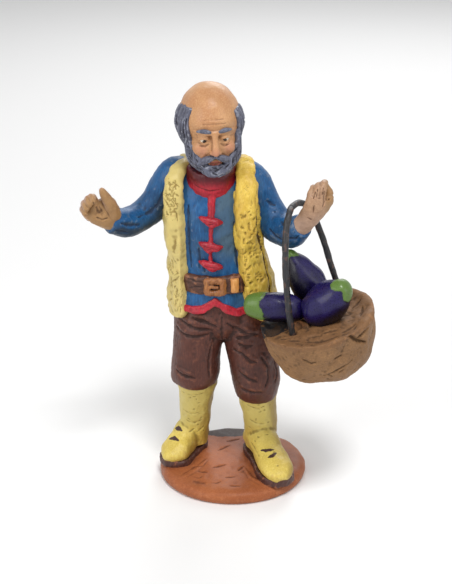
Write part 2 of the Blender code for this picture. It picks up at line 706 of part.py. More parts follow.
def build_vest():
    columns, rows = 22, 7
    bm = bmesh.new()
    bmesh.ops.create_grid(bm, x_segments=columns, y_segments=rows, size=0.5)
    for vertex in bm.verts:
        across = vertex.co.x + 0.5
        rise = vertex.co.y + 0.5
        facing = math.cos(VEST_OPENING + 2 * (math.pi - VEST_OPENING) * across)
        if facing > 0:
            reach = (VEST_TOP_FRONT - VEST_ARMHOLE) * min(1.0, facing * ARMHOLE_SWEEP_FRONT)
        else:
            reach = (VEST_TOP_BACK - VEST_ARMHOLE) * min(1.0, -facing * ARMHOLE_SWEEP_BACK)
        height = VEST_BOTTOM + (VEST_ARMHOLE + reach - VEST_BOTTOM) * rise
        stand_right, stand_left, edge_right, edge_left = vest_row(height)
        start = vest_edge_angle(height, edge_left, stand_left)
        end = 2 * math.pi + vest_edge_angle(height, edge_right, stand_right)
        angle = start + (end - start) * across
        sine, cosine = math.sin(angle), math.cos(angle)
        centre, half_u, half_v = vest_section(height)
        half_u += stand_left if sine > 0 else stand_right
        power = VEST_SQUARENESS
        square = (abs(sine) ** power + abs(cosine) ** power) ** (-1 / power)
        x = centre.x + half_u * square * sine
        y = centre.y - half_v * square * cosine
        vertex.co = (x, y, height)
    bmesh.ops.recalc_face_normals(bm, faces=bm.faces)
    wrap = clay_form("vest_wrap", bm)
    wall = wrap.modifiers.new("Wall", "SOLIDIFY")
    wall.thickness = VEST_WALL
    wall.offset = -1.0
    wall.use_even_offset = False
    edge = wrap.modifiers.new("Edge", "BEVEL")
    edge.width = VEST_EDGE_BEVEL
    edge.segments = 1
    edge.limit_method = "ANGLE"
    edge.angle_limit = math.radians(50)

    for side, strap, armhole in (
        ("right", RIGHT_STRAP, RIGHT_ARMHOLE),
        ("left", LEFT_STRAP, LEFT_ARMHOLE),
    ):
        sections = [(Vector(row[:3]), row[3], row[4]) for row in strap]
        loft_form(f"{side}_strap", sections, reference=(1, 0, 0))
        ball_form(f"{side}_armhole_fill", armhole, (ARMHOLE_FILL,) * 3, segments=8, rings=6)


def build_sleeve(side, rows):
    sections = [(Vector(row[:3]), row[3], row[3]) for row in rows]
    loft_form(f"{side}_sleeve", sections)


# Hands: a palm, fingers bent side by side and a thumb
def build_hand(side, palm, lean, fingers, thumb, thumb_radii):
    sections = [(Vector(row[:3]), row[3], row[4]) for row in palm]
    loft_form(f"{side}_palm", sections, reference=lean)
    digits = [
        (f"finger_{number + 1}", joints, FINGER_RADII) for number, joints in enumerate(fingers)
    ]
    digits.append(("thumb", thumb, thumb_radii))
    for name, joints, radii in digits:
        sections = [(Vector(joint), radius, radius) for joint, radius in zip(joints, radii)]
        loft_form(f"{side}_{name}", sections, 6, reference=(1, 0, 0.2), softness=0)


# Head: a bald skull with hair round its sides, a full beard and a calm, plain face
def build_head():
    turn = (
        Matrix.Translation(HEAD_CENTRE)
        @ Matrix.Rotation(HEAD_YAW, 4, "Z")
        @ Matrix.Rotation(HEAD_PITCH, 4, "X")
        @ Matrix.Rotation(HEAD_ROLL, 4, "Y")
    )
    width, depth, height = SKULL_HALF_WIDTH, SKULL_HALF_DEPTH, SKULL_HALF_HEIGHT
    ball_form(
        "skull", (0, depth * 0.12, height * 0.29), (width, depth, height), turn, 20, 14
    )
    face_depth = depth * 0.66
    face_centre = Vector((0, -depth * 0.30, -FACE_HALF_HEIGHT * 0.38))
    ball_form(
        "face", face_centre, (FACE_HALF_WIDTH, face_depth, FACE_HALF_HEIGHT), turn, 18, 12
    )
    front = face_centre.y - face_depth

    def placed(sections):
        return [(turn @ Vector(place), half_u, half_v) for place, half_u, half_v in sections]

    up = turn.to_3x3() @ Vector((0, 0, 1))
    outward = turn.to_3x3() @ Vector((0, -1, 0))
    nose = (
        ((0, front + NOSE_STAND * 0.55, NOSE_LENGTH * 0.45), NOSE_HALF_WIDTH * 0.6, NOSE_STAND * 0.4),
        ((0, front + NOSE_STAND * 0.10, 0), NOSE_HALF_WIDTH * 0.65, NOSE_STAND * 0.5),
        ((0, front - NOSE_STAND * 0.25, -NOSE_LENGTH * 0.45), NOSE_HALF_WIDTH, NOSE_STAND * 0.6),
        ((0, front - NOSE_STAND * 0.05, -NOSE_LENGTH * 0.66), NOSE_HALF_WIDTH * 0.7, NOSE_STAND * 0.4),
    )
    loft_form("nose", placed(nose), reference=outward)

    brow_z = NOSE_LENGTH * 0.52
    for sign in (-1, 1):
        name = "left" if sign > 0 else "right"
        brow = (
            ((sign * width * 0.12, front + depth * 0.09, brow_z), 0.7),
            ((sign * width * 0.36, front + depth * 0.13, brow_z * 1.15), 1.0),
            ((sign * width * 0.62, front + depth * 0.30, brow_z * 0.85), 0.7),
        )
        sections = [(place, BROW_RADIUS * share, BROW_RADIUS * share) for place, share in brow]
        loft_form(f"{name}_brow", placed(sections), 6, reference=up, softness=0)
        lip = (
            ((sign * width * 0.02, front - NOSE_STAND * 0.05, -NOSE_LENGTH * 0.95), 1.0),
            ((sign * width * 0.26, front + NOSE_STAND * 0.20, -NOSE_LENGTH * 1.10), 1.1),
            ((sign * width * 0.50, front + NOSE_STAND * 0.90, -NOSE_LENGTH * 1.45), 0.8),
        )
        radius = MOUSTACHE_RADIUS
        sections = [(place, radius * share, radius * share) for place, share in lip]
        loft_form(f"{name}_moustache", placed(sections), 6, reference=up, softness=0)

        eye = (sign * width * 0.35, front + depth * 0.17, 0)
        radii = (EYE_HALF_WIDTH, EYE_HALF_WIDTH, EYE_HALF_WIDTH * 0.62)
        ball_form(f"{name}_eye", eye, radii, turn, segments=8, rings=6)
    lower_lip = (0, front + NOSE_STAND * 0.30, -NOSE_LENGTH * 1.36)
    radii = (MOUSTACHE_RADIUS * 1.6, MOUSTACHE_RADIUS * 0.9, MOUSTACHE_RADIUS * 0.55)
    ball_form("lower_lip", lower_lip, radii, turn, segments=8, rings=6)

    hair = []
    for step in range(HAIR_STEPS + 1):
        angle = -HAIR_WRAP + (math.pi + 2 * HAIR_WRAP) * step / HAIR_STEPS
        end = step in (0, HAIR_STEPS)
        behind = max(0.0, math.sin(angle))
        x, y = width * 0.94 * math.cos(angle), depth * (0.12 + 0.92 * math.sin(angle))
        half_height = HAIR_HALF_HEIGHT * 0.8
        if not end:
            half_height = HAIR_HALF_HEIGHT + HAIR_BACK_EXTRA * behind
        place = (x, y, HAIR_RISE - HAIR_BACK_DROP * behind)
        hair.append((place, HAIR_HALF_THICKNESS, half_height))
    loft_form("hair", placed(hair), reference=up)

    half = (
        (BEARD_SIDE, 0.65, 0.60), (BEARD_CHEEK, 0.90, 0.80), (BEARD_JAW, 1.05, 1.0),
        (BEARD_CHIN, 1.10, 1.2),
    )
    other_half = [((-x, y, z), share_u, share_v) for (x, y, z), share_u, share_v in half[-2::-1]]
    thick = BEARD_HALF_THICKNESS
    sections = [
        (place, thick * share_u, thick * share_v) for place, share_u, share_v in (*half, *other_half)
    ]
    loft_form("beard", placed(sections), reference=outward)


# Basket and what it holds, in the basket's own frame
def basket_frame():
    return (
        Matrix.Translation(BASKET_CENTRE)
        @ Matrix.Rotation(BASKET_ROLL, 4, "Y")
        @ Matrix.Rotation(BASKET_PITCH, 4, "X")
    )


def turned(name, profile, sides, collection, material):
    """A profile of (radius, height) from top to bottom, turned about Z with the Screw modifier."""
    bm = bmesh.new()
    row = [bm.verts.new((radius, 0, height)) for radius, height in profile]
    for above, below in zip(row, row[1:]):
        bm.edges.new((above, below))
    made = as_object(name, bm, collection, material)
    lathe = made.modifiers.new("Turn", "SCREW")
    lathe.axis = "Z"
    lathe.steps = sides
    lathe.render_steps = sides
    lathe.use_merge_vertices = True
    lathe.merge_threshold = 0.00005
    lathe.use_normal_calculate = True
    return made


def build_basket(frame):
    rim, foot, height = BASKET_RIM_RADIUS, BASKET_FOOT_RADIUS, BASKET_HEIGHT
    floor = -BASKET_DISH
    inner = rim - BASKET_RIM_WIDTH
    belly = 7
    wall = [
        (
            foot + (rim - foot) * math.sin(math.radians(90) * i / belly) ** 0.80,
            -height + height * (1 - math.cos(math.radians(90) * i / belly)) ** 0.92,
        )
        for i in range(belly, -1, -1)
    ]
    lip = rim - BASKET_RIM_WIDTH * 0.3
    profile = [(0.0, floor), (inner * 0.8, floor), (inner, floor * 0.35), (lip, 0.0)]
    profile += [(rim, floor * 0.4), *wall[1:], (0.0, -height)]
    basket = turned("basket", profile, BASKET_SIDES, figurine, BASKET_CLAY)
    basket.matrix_world = frame
    return basket


def handle_route(frame):
    """The handle's points, from inside its front hole, over the wrist, to inside its back hole."""

    def foot(x, y, height):
        return frame @ Vector((x, y, height))

    end = GAP - BASKET_DISH - WIRE_HOLE_DEPTH
    bends = [Vector(bend) for bend in HANDLE_BENDS]
    front = [foot(*HANDLE_FRONT_FOOT, end), foot(*HANDLE_FRONT_FOOT, 0)]
    back = [foot(*HANDLE_BACK_FOOT, 0), foot(*HANDLE_BACK_FOOT, end)]
    return front + bends + back


def smooth_points(route, steps):
    """Points of the Catmull-Rom curve through a route."""
    points = []
    last = len(route) - 1
    for i in range(last):
        a, b, c, d = (route[max(0, min(last, i + k))] for k in (-1, 0, 1, 2))
        for step in range(steps):
            t = step / steps
            slope, swell = c - a, 2 * a - 5 * b + 4 * c - d
            twist = 3 * b - 3 * c + d - a
            points.append(b + (slope * t + swell * t * t + twist * t ** 3) / 2)
    return points + [route[-1]]


def wire(name, points, radius, collection, material):
    curve = bpy.data.curves.new(name, "CURVE")
    curve.dimensions = "3D"
    curve.bevel_depth = radius
    curve.bevel_resolution = 2
    curve.use_fill_caps = True
    spline = curve.splines.new("POLY")
    spline.points.add(len(points) - 1)
    for slot, point in zip(spline.points, points):
        slot.co = (*point, 1.0)
    curve.materials.append(material)
    made = bpy.data.objects.new(name, curve)
    collection.objects.link(made)
    return made


def as_press_tool(tool):
    tool.hide_render = True
    tool.display_type = "WIRE"
    return tool


def mesh_of(curve_object):
    """The same object as a closed mesh, so that it can cut."""
    graph = bpy.context.evaluated_depsgraph_get()
    mesh = bpy.data.meshes.new_from_object(curve_object.evaluated_get(graph))
    bm = bmesh.new()
    bm.from_mesh(mesh)
    bmesh.ops.remove_doubles(bm, verts=bm.verts, dist=0.000001)
    bmesh.ops.recalc_face_normals(bm, faces=bm.faces)
    bm.to_mesh(mesh)
    bm.free()
    made = bpy.data.objects.new(curve_object.name, mesh)
    made.matrix_world = curve_object.matrix_world
    for collection in curve_object.users_collection:
        collection.objects.link(made)
    bpy.data.objects.remove(curve_object)
    return made


def aubergine_profile(radius, half):
    """(radius, height) from the stalk's end at the top to the round end at the bottom."""
    stem = AUBERGINE_STEM_RADIUS
    shape = (
        (0.50, 0.80), (0.72, 0.60), (0.88, 0.34), (0.99, 0.02), (1.00, -0.28),
        (0.90, -0.56), (0.68, -0.80), (0.36, -0.95),
    )
    body = [(radius * across, half * along) for across, along in shape]
    return [(0.0, half), (stem, half * 0.98), (stem * 1.2, half * 0.90), *body, (0.0, -half)]


def build_aubergine(name, frame, centre, stalk, radius, half):
    """An aubergine, and the press that makes room for it in what it lies against."""
    aim = Vector(stalk).to_track_quat("Z", "Y").to_matrix().to_4x4()
    place = frame @ Matrix.Translation(centre) @ aim
    profile = aubergine_profile(radius, half)
    aubergine = turned(name, profile, AUBERGINE_SIDES, figurine, AUBERGINE_PURPLE)
    aubergine.matrix_world = place
    wider = aubergine_profile(radius + GAP, half + GAP)
    tool = turned(f"{name}_press", wider, AUBERGINE_SIDES, press_tools, AUBERGINE_PURPLE)
    tool.matrix_world = place
    return aubergine, as_press_tool(tool)


def build_figurine():
    farmer = build_base()
    build_boot("right", RIGHT_HEEL, RIGHT_TOE, RIGHT_ANKLE, RIGHT_HEM)
    build_boot("left", LEFT_HEEL, LEFT_TOE, LEFT_ANKLE, LEFT_HEM)
    build_trouser_leg("right", RIGHT_HIP, RIGHT_KNEE, RIGHT_HEM)
    build_trouser_leg("left", LEFT_HIP, LEFT_KNEE, LEFT_HEM)
    build_trunk()
    build_skirt()
    build_belt()
    build_front_trim()
    build_vest()
    build_sleeve("right", RIGHT_SLEEVE)
    build_sleeve("left", LEFT_SLEEVE)
    build_hand(
        "right", RIGHT_PALM, RIGHT_PALM_LEAN, RIGHT_FINGERS, RIGHT_THUMB, RIGHT_THUMB_RADII
    )
    build_hand("left", LEFT_PALM, LEFT_PALM_LEAN, LEFT_FINGERS, LEFT_THUMB, LEFT_THUMB_RADII)
    build_head()
    boolean(farmer, "UNION", clay_forms)

    frame = basket_frame()
    basket = build_basket(frame)
    middle, middle_press = build_aubergine(
        "aubergine_middle", frame, MIDDLE_AUBERGINE_CENTRE, MIDDLE_AUBERGINE_STALK,
        MIDDLE_AUBERGINE_RADIUS, MIDDLE_AUBERGINE_HALF_LENGTH,
    )
    front, front_press = build_aubergine(
        "aubergine_front", frame, FRONT_AUBERGINE_CENTRE, FRONT_AUBERGINE_STALK,
        FRONT_AUBERGINE_RADIUS, FRONT_AUBERGINE_HALF_LENGTH,
    )
    back, back_press = build_aubergine(
        "aubergine_back", frame, BACK_AUBERGINE_CENTRE, BACK_AUBERGINE_STALK,
        BACK_AUBERGINE_RADIUS, BACK_AUBERGINE_HALF_LENGTH,
    )
    boolean(front, "DIFFERENCE", middle_press)
    boolean(back, "DIFFERENCE", middle_press)
    boolean(back, "DIFFERENCE", front_press)
    for press in (middle_press, front_press, back_press):
        boolean(basket, "DIFFERENCE", press)

    route = smooth_points(handle_route(frame), WIRE_POINTS_PER_STRETCH)
    wire("handle", route, WIRE_RADIUS, figurine, BLACK_WIRE)
    hole_route = [route[0] + (route[0] - route[1]).normalized() * GAP, *route[1:-1]]
    hole_route.append(route[-1] + (route[-1] - route[-2]).normalized() * GAP)
    sleeve = wire("wire_sleeve", hole_route, WIRE_RADIUS + WIRE_CLEARANCE, press_tools, BLACK_WIRE)
    boolean(basket, "DIFFERENCE", as_press_tool(mesh_of(sleeve)))


build_figurine()
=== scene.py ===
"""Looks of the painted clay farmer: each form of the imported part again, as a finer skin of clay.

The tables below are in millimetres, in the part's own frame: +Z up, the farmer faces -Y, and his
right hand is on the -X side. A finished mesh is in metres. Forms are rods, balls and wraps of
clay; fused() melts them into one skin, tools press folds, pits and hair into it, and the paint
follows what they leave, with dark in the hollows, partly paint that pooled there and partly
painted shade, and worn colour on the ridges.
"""

import math

import bmesh
import bpy
import numpy as np
from mathutils import Matrix, Vector


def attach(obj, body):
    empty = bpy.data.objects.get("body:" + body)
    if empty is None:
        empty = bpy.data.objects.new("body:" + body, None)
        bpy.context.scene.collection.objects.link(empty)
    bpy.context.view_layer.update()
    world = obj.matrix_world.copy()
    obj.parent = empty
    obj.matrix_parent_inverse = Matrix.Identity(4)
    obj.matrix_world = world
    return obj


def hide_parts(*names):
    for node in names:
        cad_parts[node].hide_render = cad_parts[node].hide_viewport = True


MM = 0.001

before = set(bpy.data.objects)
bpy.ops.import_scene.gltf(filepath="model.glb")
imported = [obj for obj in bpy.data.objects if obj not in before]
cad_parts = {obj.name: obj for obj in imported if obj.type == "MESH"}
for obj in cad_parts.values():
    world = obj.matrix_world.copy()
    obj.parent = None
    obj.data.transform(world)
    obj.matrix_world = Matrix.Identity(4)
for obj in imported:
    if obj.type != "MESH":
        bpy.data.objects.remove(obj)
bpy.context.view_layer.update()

COARSE = 1.12


# Clay forms
SORT_DIRECTION = Vector((1.0, 0.7310585, 0.4142135))


def smooth_rows(rows, steps):
    """Rows of numbers with a smooth run of new rows between each pair."""
    rows = np.array(rows, float)
    padded = np.vstack((2 * rows[0] - rows[1], rows, 2 * rows[-1] - rows[-2]))
    run = []
    for a, b, c, d in zip(padded, padded[1:], padded[2:], padded[3:]):
        for t in np.linspace(0, 1, steps, endpoint=False):
            bend = (2 * a - 5 * b + 4 * c - d) * t * t + (3 * b - 3 * c + d - a) * t ** 3
            run.append(0.5 * (2 * b + (c - a) * t + bend))
    return np.array(run + [rows[-1]])


def section_frame(centre, along, lean, half_u, half_v):
    """Lays a unit circle across a path: V leans to the lean, and U is square to both."""
    along = along.normalized()
    v_axis = (lean - along * lean.dot(along)).normalized()
    u_axis = v_axis.cross(along)
    columns = Matrix((u_axis * half_u, v_axis * half_v, along * half_u)).transposed()
    return Matrix.Translation(centre) @ columns.to_4x4()


def upright(rows):
    """Rows of (z, half U, half V) round the Z axis, as a rod takes them."""
    return [(0, 0, *row) for row in rows]


def round_rows(rows):
    """Rows of (x, y, z, half width) of a round section, as a rod takes them."""
    return [(*row, row[-1]) for row in rows]


def place_in_order(part):
    """A number for a point, edge or face of a form, by which it keeps its place each run."""
    corners = getattr(part, "verts", [part])
    return sum(corner.co.dot(SORT_DIRECTION) for corner in corners) / len(corners)


def as_form(bm):
    bmesh.ops.recalc_face_normals(bm, faces=bm.faces)
    for parts in (bm.verts, bm.edges, bm.faces):
        parts.sort(key=place_in_order)
    form = bpy.data.meshes.new("form")
    bm.to_mesh(form)
    bm.free()
    return form


def rod(rows, sides=24, lean=(0, 1, 0), level=False, steps=5, turn=Matrix()):
    """A rod through rows of (x, y, z, half U, half V); level keeps every section flat."""
    rows = smooth_rows(rows, steps)
    centres = [turn @ Vector(row[:3]) for row in rows]
    lean = turn.to_3x3() @ Vector(lean)
    last = len(centres) - 1
    frames = []
    for i, (centre, row) in enumerate(zip(centres, rows)):
        along = centres[min(i + 1, last)] - centres[max(i - 1, 0)]
        if level:
            along = turn.to_3x3() @ Vector((0, 0, 1))
        frames.append(section_frame(centre, along, lean, max(row[3], 0.02), max(row[4], 0.02)))
    bm = bmesh.new()
    ring = bmesh.ops.create_circle(
        bm, cap_ends=True, radius=1.0, segments=sides, matrix=frames[0]
    )["verts"]
    edges = list(bm.edges)
    for before, after in zip(frames, frames[1:]):
        grown = bmesh.ops.extrude_edge_only(bm, edges=edges)["geom"]
        ring = {item for item in grown if isinstance(item, bmesh.types.BMVert)}
        bmesh.ops.transform(bm, matrix=after @ before.inverted(), verts=list(ring))
        edges = [
            item
            for item in grown
            if isinstance(item, bmesh.types.BMEdge) and set(item.verts) <= ring
        ]
    bmesh.ops.contextual_create(bm, geom=edges)
    return as_form(bm)


def thin_rod(points, widths, sides=12, turn=Matrix(), steps=4, lean=(0, 0, 1)):
    """A round rod through points, with its half width at each; its ends are rounded off."""
    rows = [(*point, width, width) for point, width in zip(points, widths)]
    first, last = np.array(points[0], float), np.array(points[-1], float)
    start = first - np.array(points[1], float)
    end = last - np.array(points[-2], float)
    start *= widths[0] / np.linalg.norm(start)
    end *= widths[-1] / np.linalg.norm(end)
    tip, tail = widths[0] * 0.6, widths[-1] * 0.6
    rows.insert(0, (*(first + start * 0.75), tip, tip))
    rows.append((*(last + end * 0.75), tail, tail))
    return rod(rows, sides, lean, turn=turn, steps=steps)


def ball(centre, radii, turn=Matrix()):
    bm = bmesh.new()
    place = turn @ Matrix.Translation(centre) @ Matrix.Diagonal((*radii, 1.0))
    bmesh.ops.create_uvsphere(bm, u_segments=28, v_segments=18, radius=1.0, matrix=place)
    return as_form(bm)


def wrap(outer, inner, columns, rows):
    """A thick sheet: outer and inner give a point for shares across and up of the sheet."""
    bm = bmesh.new()
    faces = []
    for face_of in (outer, inner):
        grid = [
            [bm.verts.new(face_of(i / columns, j / rows)) for i in range(columns + 1)]
            for j in range(rows + 1)
        ]
        faces.append(grid)
    for grid in faces:
        for below, above in zip(grid, grid[1:]):
            for i in range(columns):
                bm.faces.new((below[i], below[i + 1], above[i + 1], above[i]))
    rims = []
    for grid in faces:
        left = [row[0] for row in grid]
        right = [row[-1] for row in grid]
        rims.append(grid[0] + right[1:] + grid[-1][-2::-1] + left[-2:0:-1])
    count = len(rims[0])
    for i in range(count):
        j = (i + 1) % count
        bm.faces.new((rims[0][i], rims[0][j], rims[1][j], rims[1][i]))
    return as_form(bm)


# Clay skins and the tools that shape them
def eased(value, low, high):
    """0 at low and below, 1 at high and above, with a soft run between."""
    share = np.clip((value - low) / (high - low), 0, 1)
    return share * share * (3 - 2 * share)


def gap_to_line(points, line, reach, taper=0.0):
    """Each point's distance to a line as a share of the reach, which thins to the line's ends."""
    line = np.array(line, float)
    gap = np.full(len(points), 9.0)
    close = np.flatnonzero(
        ((points > line.min(0) - reach) & (points < line.max(0) + reach)).all(1)
    )
    spots = points[close]
    stretches = len(line) - 1
    for i in range(stretches):
        run = line[i + 1] - line[i]
        along = np.clip((spots - line[i]) @ run / max(run @ run, 1e-9), 0, 1)
        away = np.linalg.norm(spots - line[i] - along[:, None] * run, axis=1)
        share = (i + along) / stretches
        width = reach * (1 - taper * np.abs(2 * share - 1) ** 2)
        gap[close] = np.minimum(gap[close], away / width)
    return gap


def waves(points, size, seed, count=16):
    """Smooth lumps of about that size, from -1 to 1."""
    chance = np.random.default_rng(seed)
    total = np.zeros(len(points))
    for _ in range(count):
        way = chance.normal(size=3)
        way *= 2 * math.pi / (size * chance.uniform(0.7, 1.6) * np.linalg.norm(way))
        total += np.sin(points @ way + chance.uniform(0, 2 * math.pi))
    return np.clip(total / math.sqrt(count * 0.5) * 0.6, -1, 1)


class Clay:
    """A skin of clay while it is being shaped; its points are an array, in millimetres."""

    def __init__(self, mesh):
        self.mesh = mesh
        flat = np.empty(len(mesh.vertices) * 3, np.float32)
        mesh.vertices.foreach_get("co", flat)
        self.points = flat.reshape(-1, 3).astype(float)
        ends = np.empty(len(mesh.edges) * 2, np.int32)
        mesh.edges.foreach_get("vertices", ends)
        self.ends = ends.reshape(-1, 2)
        self.neighbours = np.bincount(ends, minlength=len(self.points))[:, None]
        self.marks = {}

    def softened(self, values, rounds):
        """The values after each point has moved halfway to its neighbours' mean, some times."""
        first, second = self.ends.T
        count = len(self.points)
        for _ in range(rounds):
            total = np.stack(
                [
                    np.bincount(first, column[second], count)
                    + np.bincount(second, column[first], count)
                    for column in values.T
                ],
                axis=1,
            )
            values = 0.5 * (values + total / self.neighbours)
        return values

    def settle(self, rounds):
        self.points = self.softened(self.points, rounds)
        return self

    def normals(self):
        self.mesh.vertices.foreach_set("co", self.points.astype(np.float32).ravel())
        self.mesh.update()
        flat = np.empty(len(self.points) * 3, np.float32)
        self.mesh.vertices.foreach_get("normal", flat)
        return flat.reshape(-1, 3).astype(float)

    def push(self, amount):
        self.points += self.normals() * np.asarray(amount)[:, None]
        return self

    def lumps(self, size, height, seed):
        return self.push(waves(self.points, size, seed) * height)

    def on_front(self, path, side=-1):
        """The places on the skin's front, or with side 1 its back, at each (x, z) of a path."""
        places = []
        for x, z in path:
            gap = np.hypot(self.points[:, 0] - x, self.points[:, 2] - z)
            near = np.flatnonzero(gap < max(0.45, gap.min() + 0.15))
            places.append(self.points[near[np.argmax(self.points[near, 1] * side)]])
        return places

    def on_skin(self, path):
        """The skin's own point nearest to each place of a path."""
        return [
            self.points[np.argmin(((self.points - np.array(place)) ** 2).sum(1))]
            for place in path
        ]

    def all_on_front(self, paths, side=-1):
        return [self.on_front(path, side) for path in paths]

    def all_on_skin(self, paths):
        return [self.on_skin(path) for path in paths]

    def strokes(self, lines, reach, taper=0.7):
        """1 along the middle of the lines, falling to 0 at the reach."""
        share = np.zeros(len(self.points))
        for line in lines:
            share = np.maximum(share, 1 - gap_to_line(self.points, line, reach, taper))
        return eased(share, 0, 1)

    def carve(self, lines, reach, depth, taper=0.7):
        return self.push(-depth * self.strokes(lines, reach, taper))

    def raise_up(self, lines, reach, height, taper=0.7):
        return self.push(height * self.strokes(lines, reach, taper))

    def mark(self, name, values):
        self.marks[name] = np.asarray(values, float)
        return self

    def finish(self, name, material, slot="painted_clay", nodes=("farmer",)):
        """Makes the skin a piece of the scene that stands for those nodes of the part."""
        normals = self.normals()
        relief = ((self.softened(self.points, 8) - self.points) * normals).sum(1)
        self.mark("hollow", np.clip(relief / 0.05, 0, 1))
        self.mark("ridge", np.clip(-relief / 0.05, 0, 1))
        for mark, values in self.marks.items():
            stored = self.mesh.attributes.new(mark, "FLOAT", "POINT")
            stored.data.foreach_set("value", values.astype(np.float32))
        self.mesh.vertices.foreach_set("co", (self.points * MM).astype(np.float32).ravel())
        self.mesh.name = name
        self.mesh.materials.clear()
        self.mesh.materials.append(material)
        self.mesh.shade_smooth()
        self.mesh.update()
        piece = bpy.data.objects.new(name, self.mesh)
        bpy.context.scene.collection.objects.link(piece)
        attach(piece, "root")
        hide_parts(*nodes)
        return piece


def fused(forms, grain, settle=3):
    """One skin round all the forms, as when soft clay is pressed together."""
    gathered = bmesh.new()
    for form in forms:
        gathered.from_mesh(form)
        bpy.data.meshes.remove(form)
    rough = bpy.data.meshes.new("rough")
    gathered.to_mesh(rough)
    gathered.free()
    holder = bpy.data.objects.new("rough", rough)
    bpy.context.scene.collection.objects.link(holder)
    melt = holder.modifiers.new("Melt", "REMESH")
    melt.mode = "VOXEL"
    melt.voxel_size = grain * COARSE
    graph = bpy.context.evaluated_depsgraph_get()
    skin = bpy.data.meshes.new_from_object(holder.evaluated_get(graph))
    bpy.data.objects.remove(holder)
    bpy.data.meshes.remove(rough)
    return Clay(skin).settle(settle)


# Paint. Its colours are a little darker than the figure's own paint: they hold some painted shade
DARK_EARTH = (28, 20, 16)


def colour(red, green, blue):
    """A paint as its red, green and blue from 0 to 255, turned into light."""
    shares = [value / 255 for value in (red, green, blue)]
    light = [s / 12.92 if s <= 0.04045 else ((s + 0.055) / 1.055) ** 2.4 for s in shares]
    return (*light, 1.0)


class Paint:
    """A hand-painted finish, built up on the object's own coordinates."""

    def __init__(self, name):
        self.material = bpy.data.materials.new(name)
        self.material.use_nodes = True
        self.tree = self.material.node_tree
        self.shader = self.tree.nodes["Principled BSDF"]
        self.place = self.add("ShaderNodeTexCoord").outputs["Object"]

    def add(self, kind, **settings):
        node = self.tree.nodes.new(kind)
        for name, value in settings.items():
            setattr(node, name, value)
        return node

    def put(self, socket, value):
        if isinstance(value, bpy.types.NodeSocket):
            self.tree.links.new(value, socket)
        else:
            socket.default_value = value

    def speckle(self, size, detail=3.0, stretch=(1, 1, 1), shift=0.0):
        """Noise from 0 to 1 whose patches are about that many millimetres across."""
        layout = self.add("ShaderNodeMapping")
        self.put(layout.inputs["Vector"], self.place)
        layout.inputs["Location"].default_value = (shift, shift * 0.7, shift * 1.3)
        layout.inputs["Scale"].default_value = [1 / (size * MM * s) for s in stretch]
        noise = self.add("ShaderNodeTexNoise")
        self.put(noise.inputs["Vector"], layout.outputs["Vector"])
        noise.inputs["Scale"].default_value = 1.0
        noise.inputs["Detail"].default_value = detail
        return noise.outputs["Fac"]

    def ramp(self, value, low, high, start=0.0, end=1.0):
        """The value's run from low to high, as a run from start to end."""
        node = self.add("ShaderNodeMapRange")
        self.put(node.inputs["Value"], value)
        for name, limit in (
            ("From Min", low), ("From Max", high), ("To Min", start), ("To Max", end)
        ):
            node.inputs[name].default_value = limit
        return node.outputs["Result"]

    def sum(self, first, second, operation="ADD"):
        node = self.add("ShaderNodeMath", operation=operation)
        self.put(node.inputs[0], first)
        self.put(node.inputs[1], second)
        return node.outputs["Value"]

    def times(self, first, second):
        return self.sum(first, second, "MULTIPLY")

    def mixed(self, share, under, over):
        node = self.add("ShaderNodeMix", data_type="RGBA")
        self.put(node.inputs[0], share)
        self.put(node.inputs[6], under)
        self.put(node.inputs[7], over)
        return node.outputs[2]

    def own(self, mark):
        """One of the marks that were stored on the skin while it was shaped."""
        return self.add("ShaderNodeAttribute", attribute_name=mark).outputs["Fac"]

    def area(self, mark, softness=0.05, wobble=0.15):
        """1 inside a mark that is stored as millimetres to its edge, with a brushed edge."""
        uneven = self.ramp(self.speckle(0.7), 0.3, 0.7, -wobble, wobble)
        return self.ramp(self.sum(self.own(mark), uneven), -softness, softness)


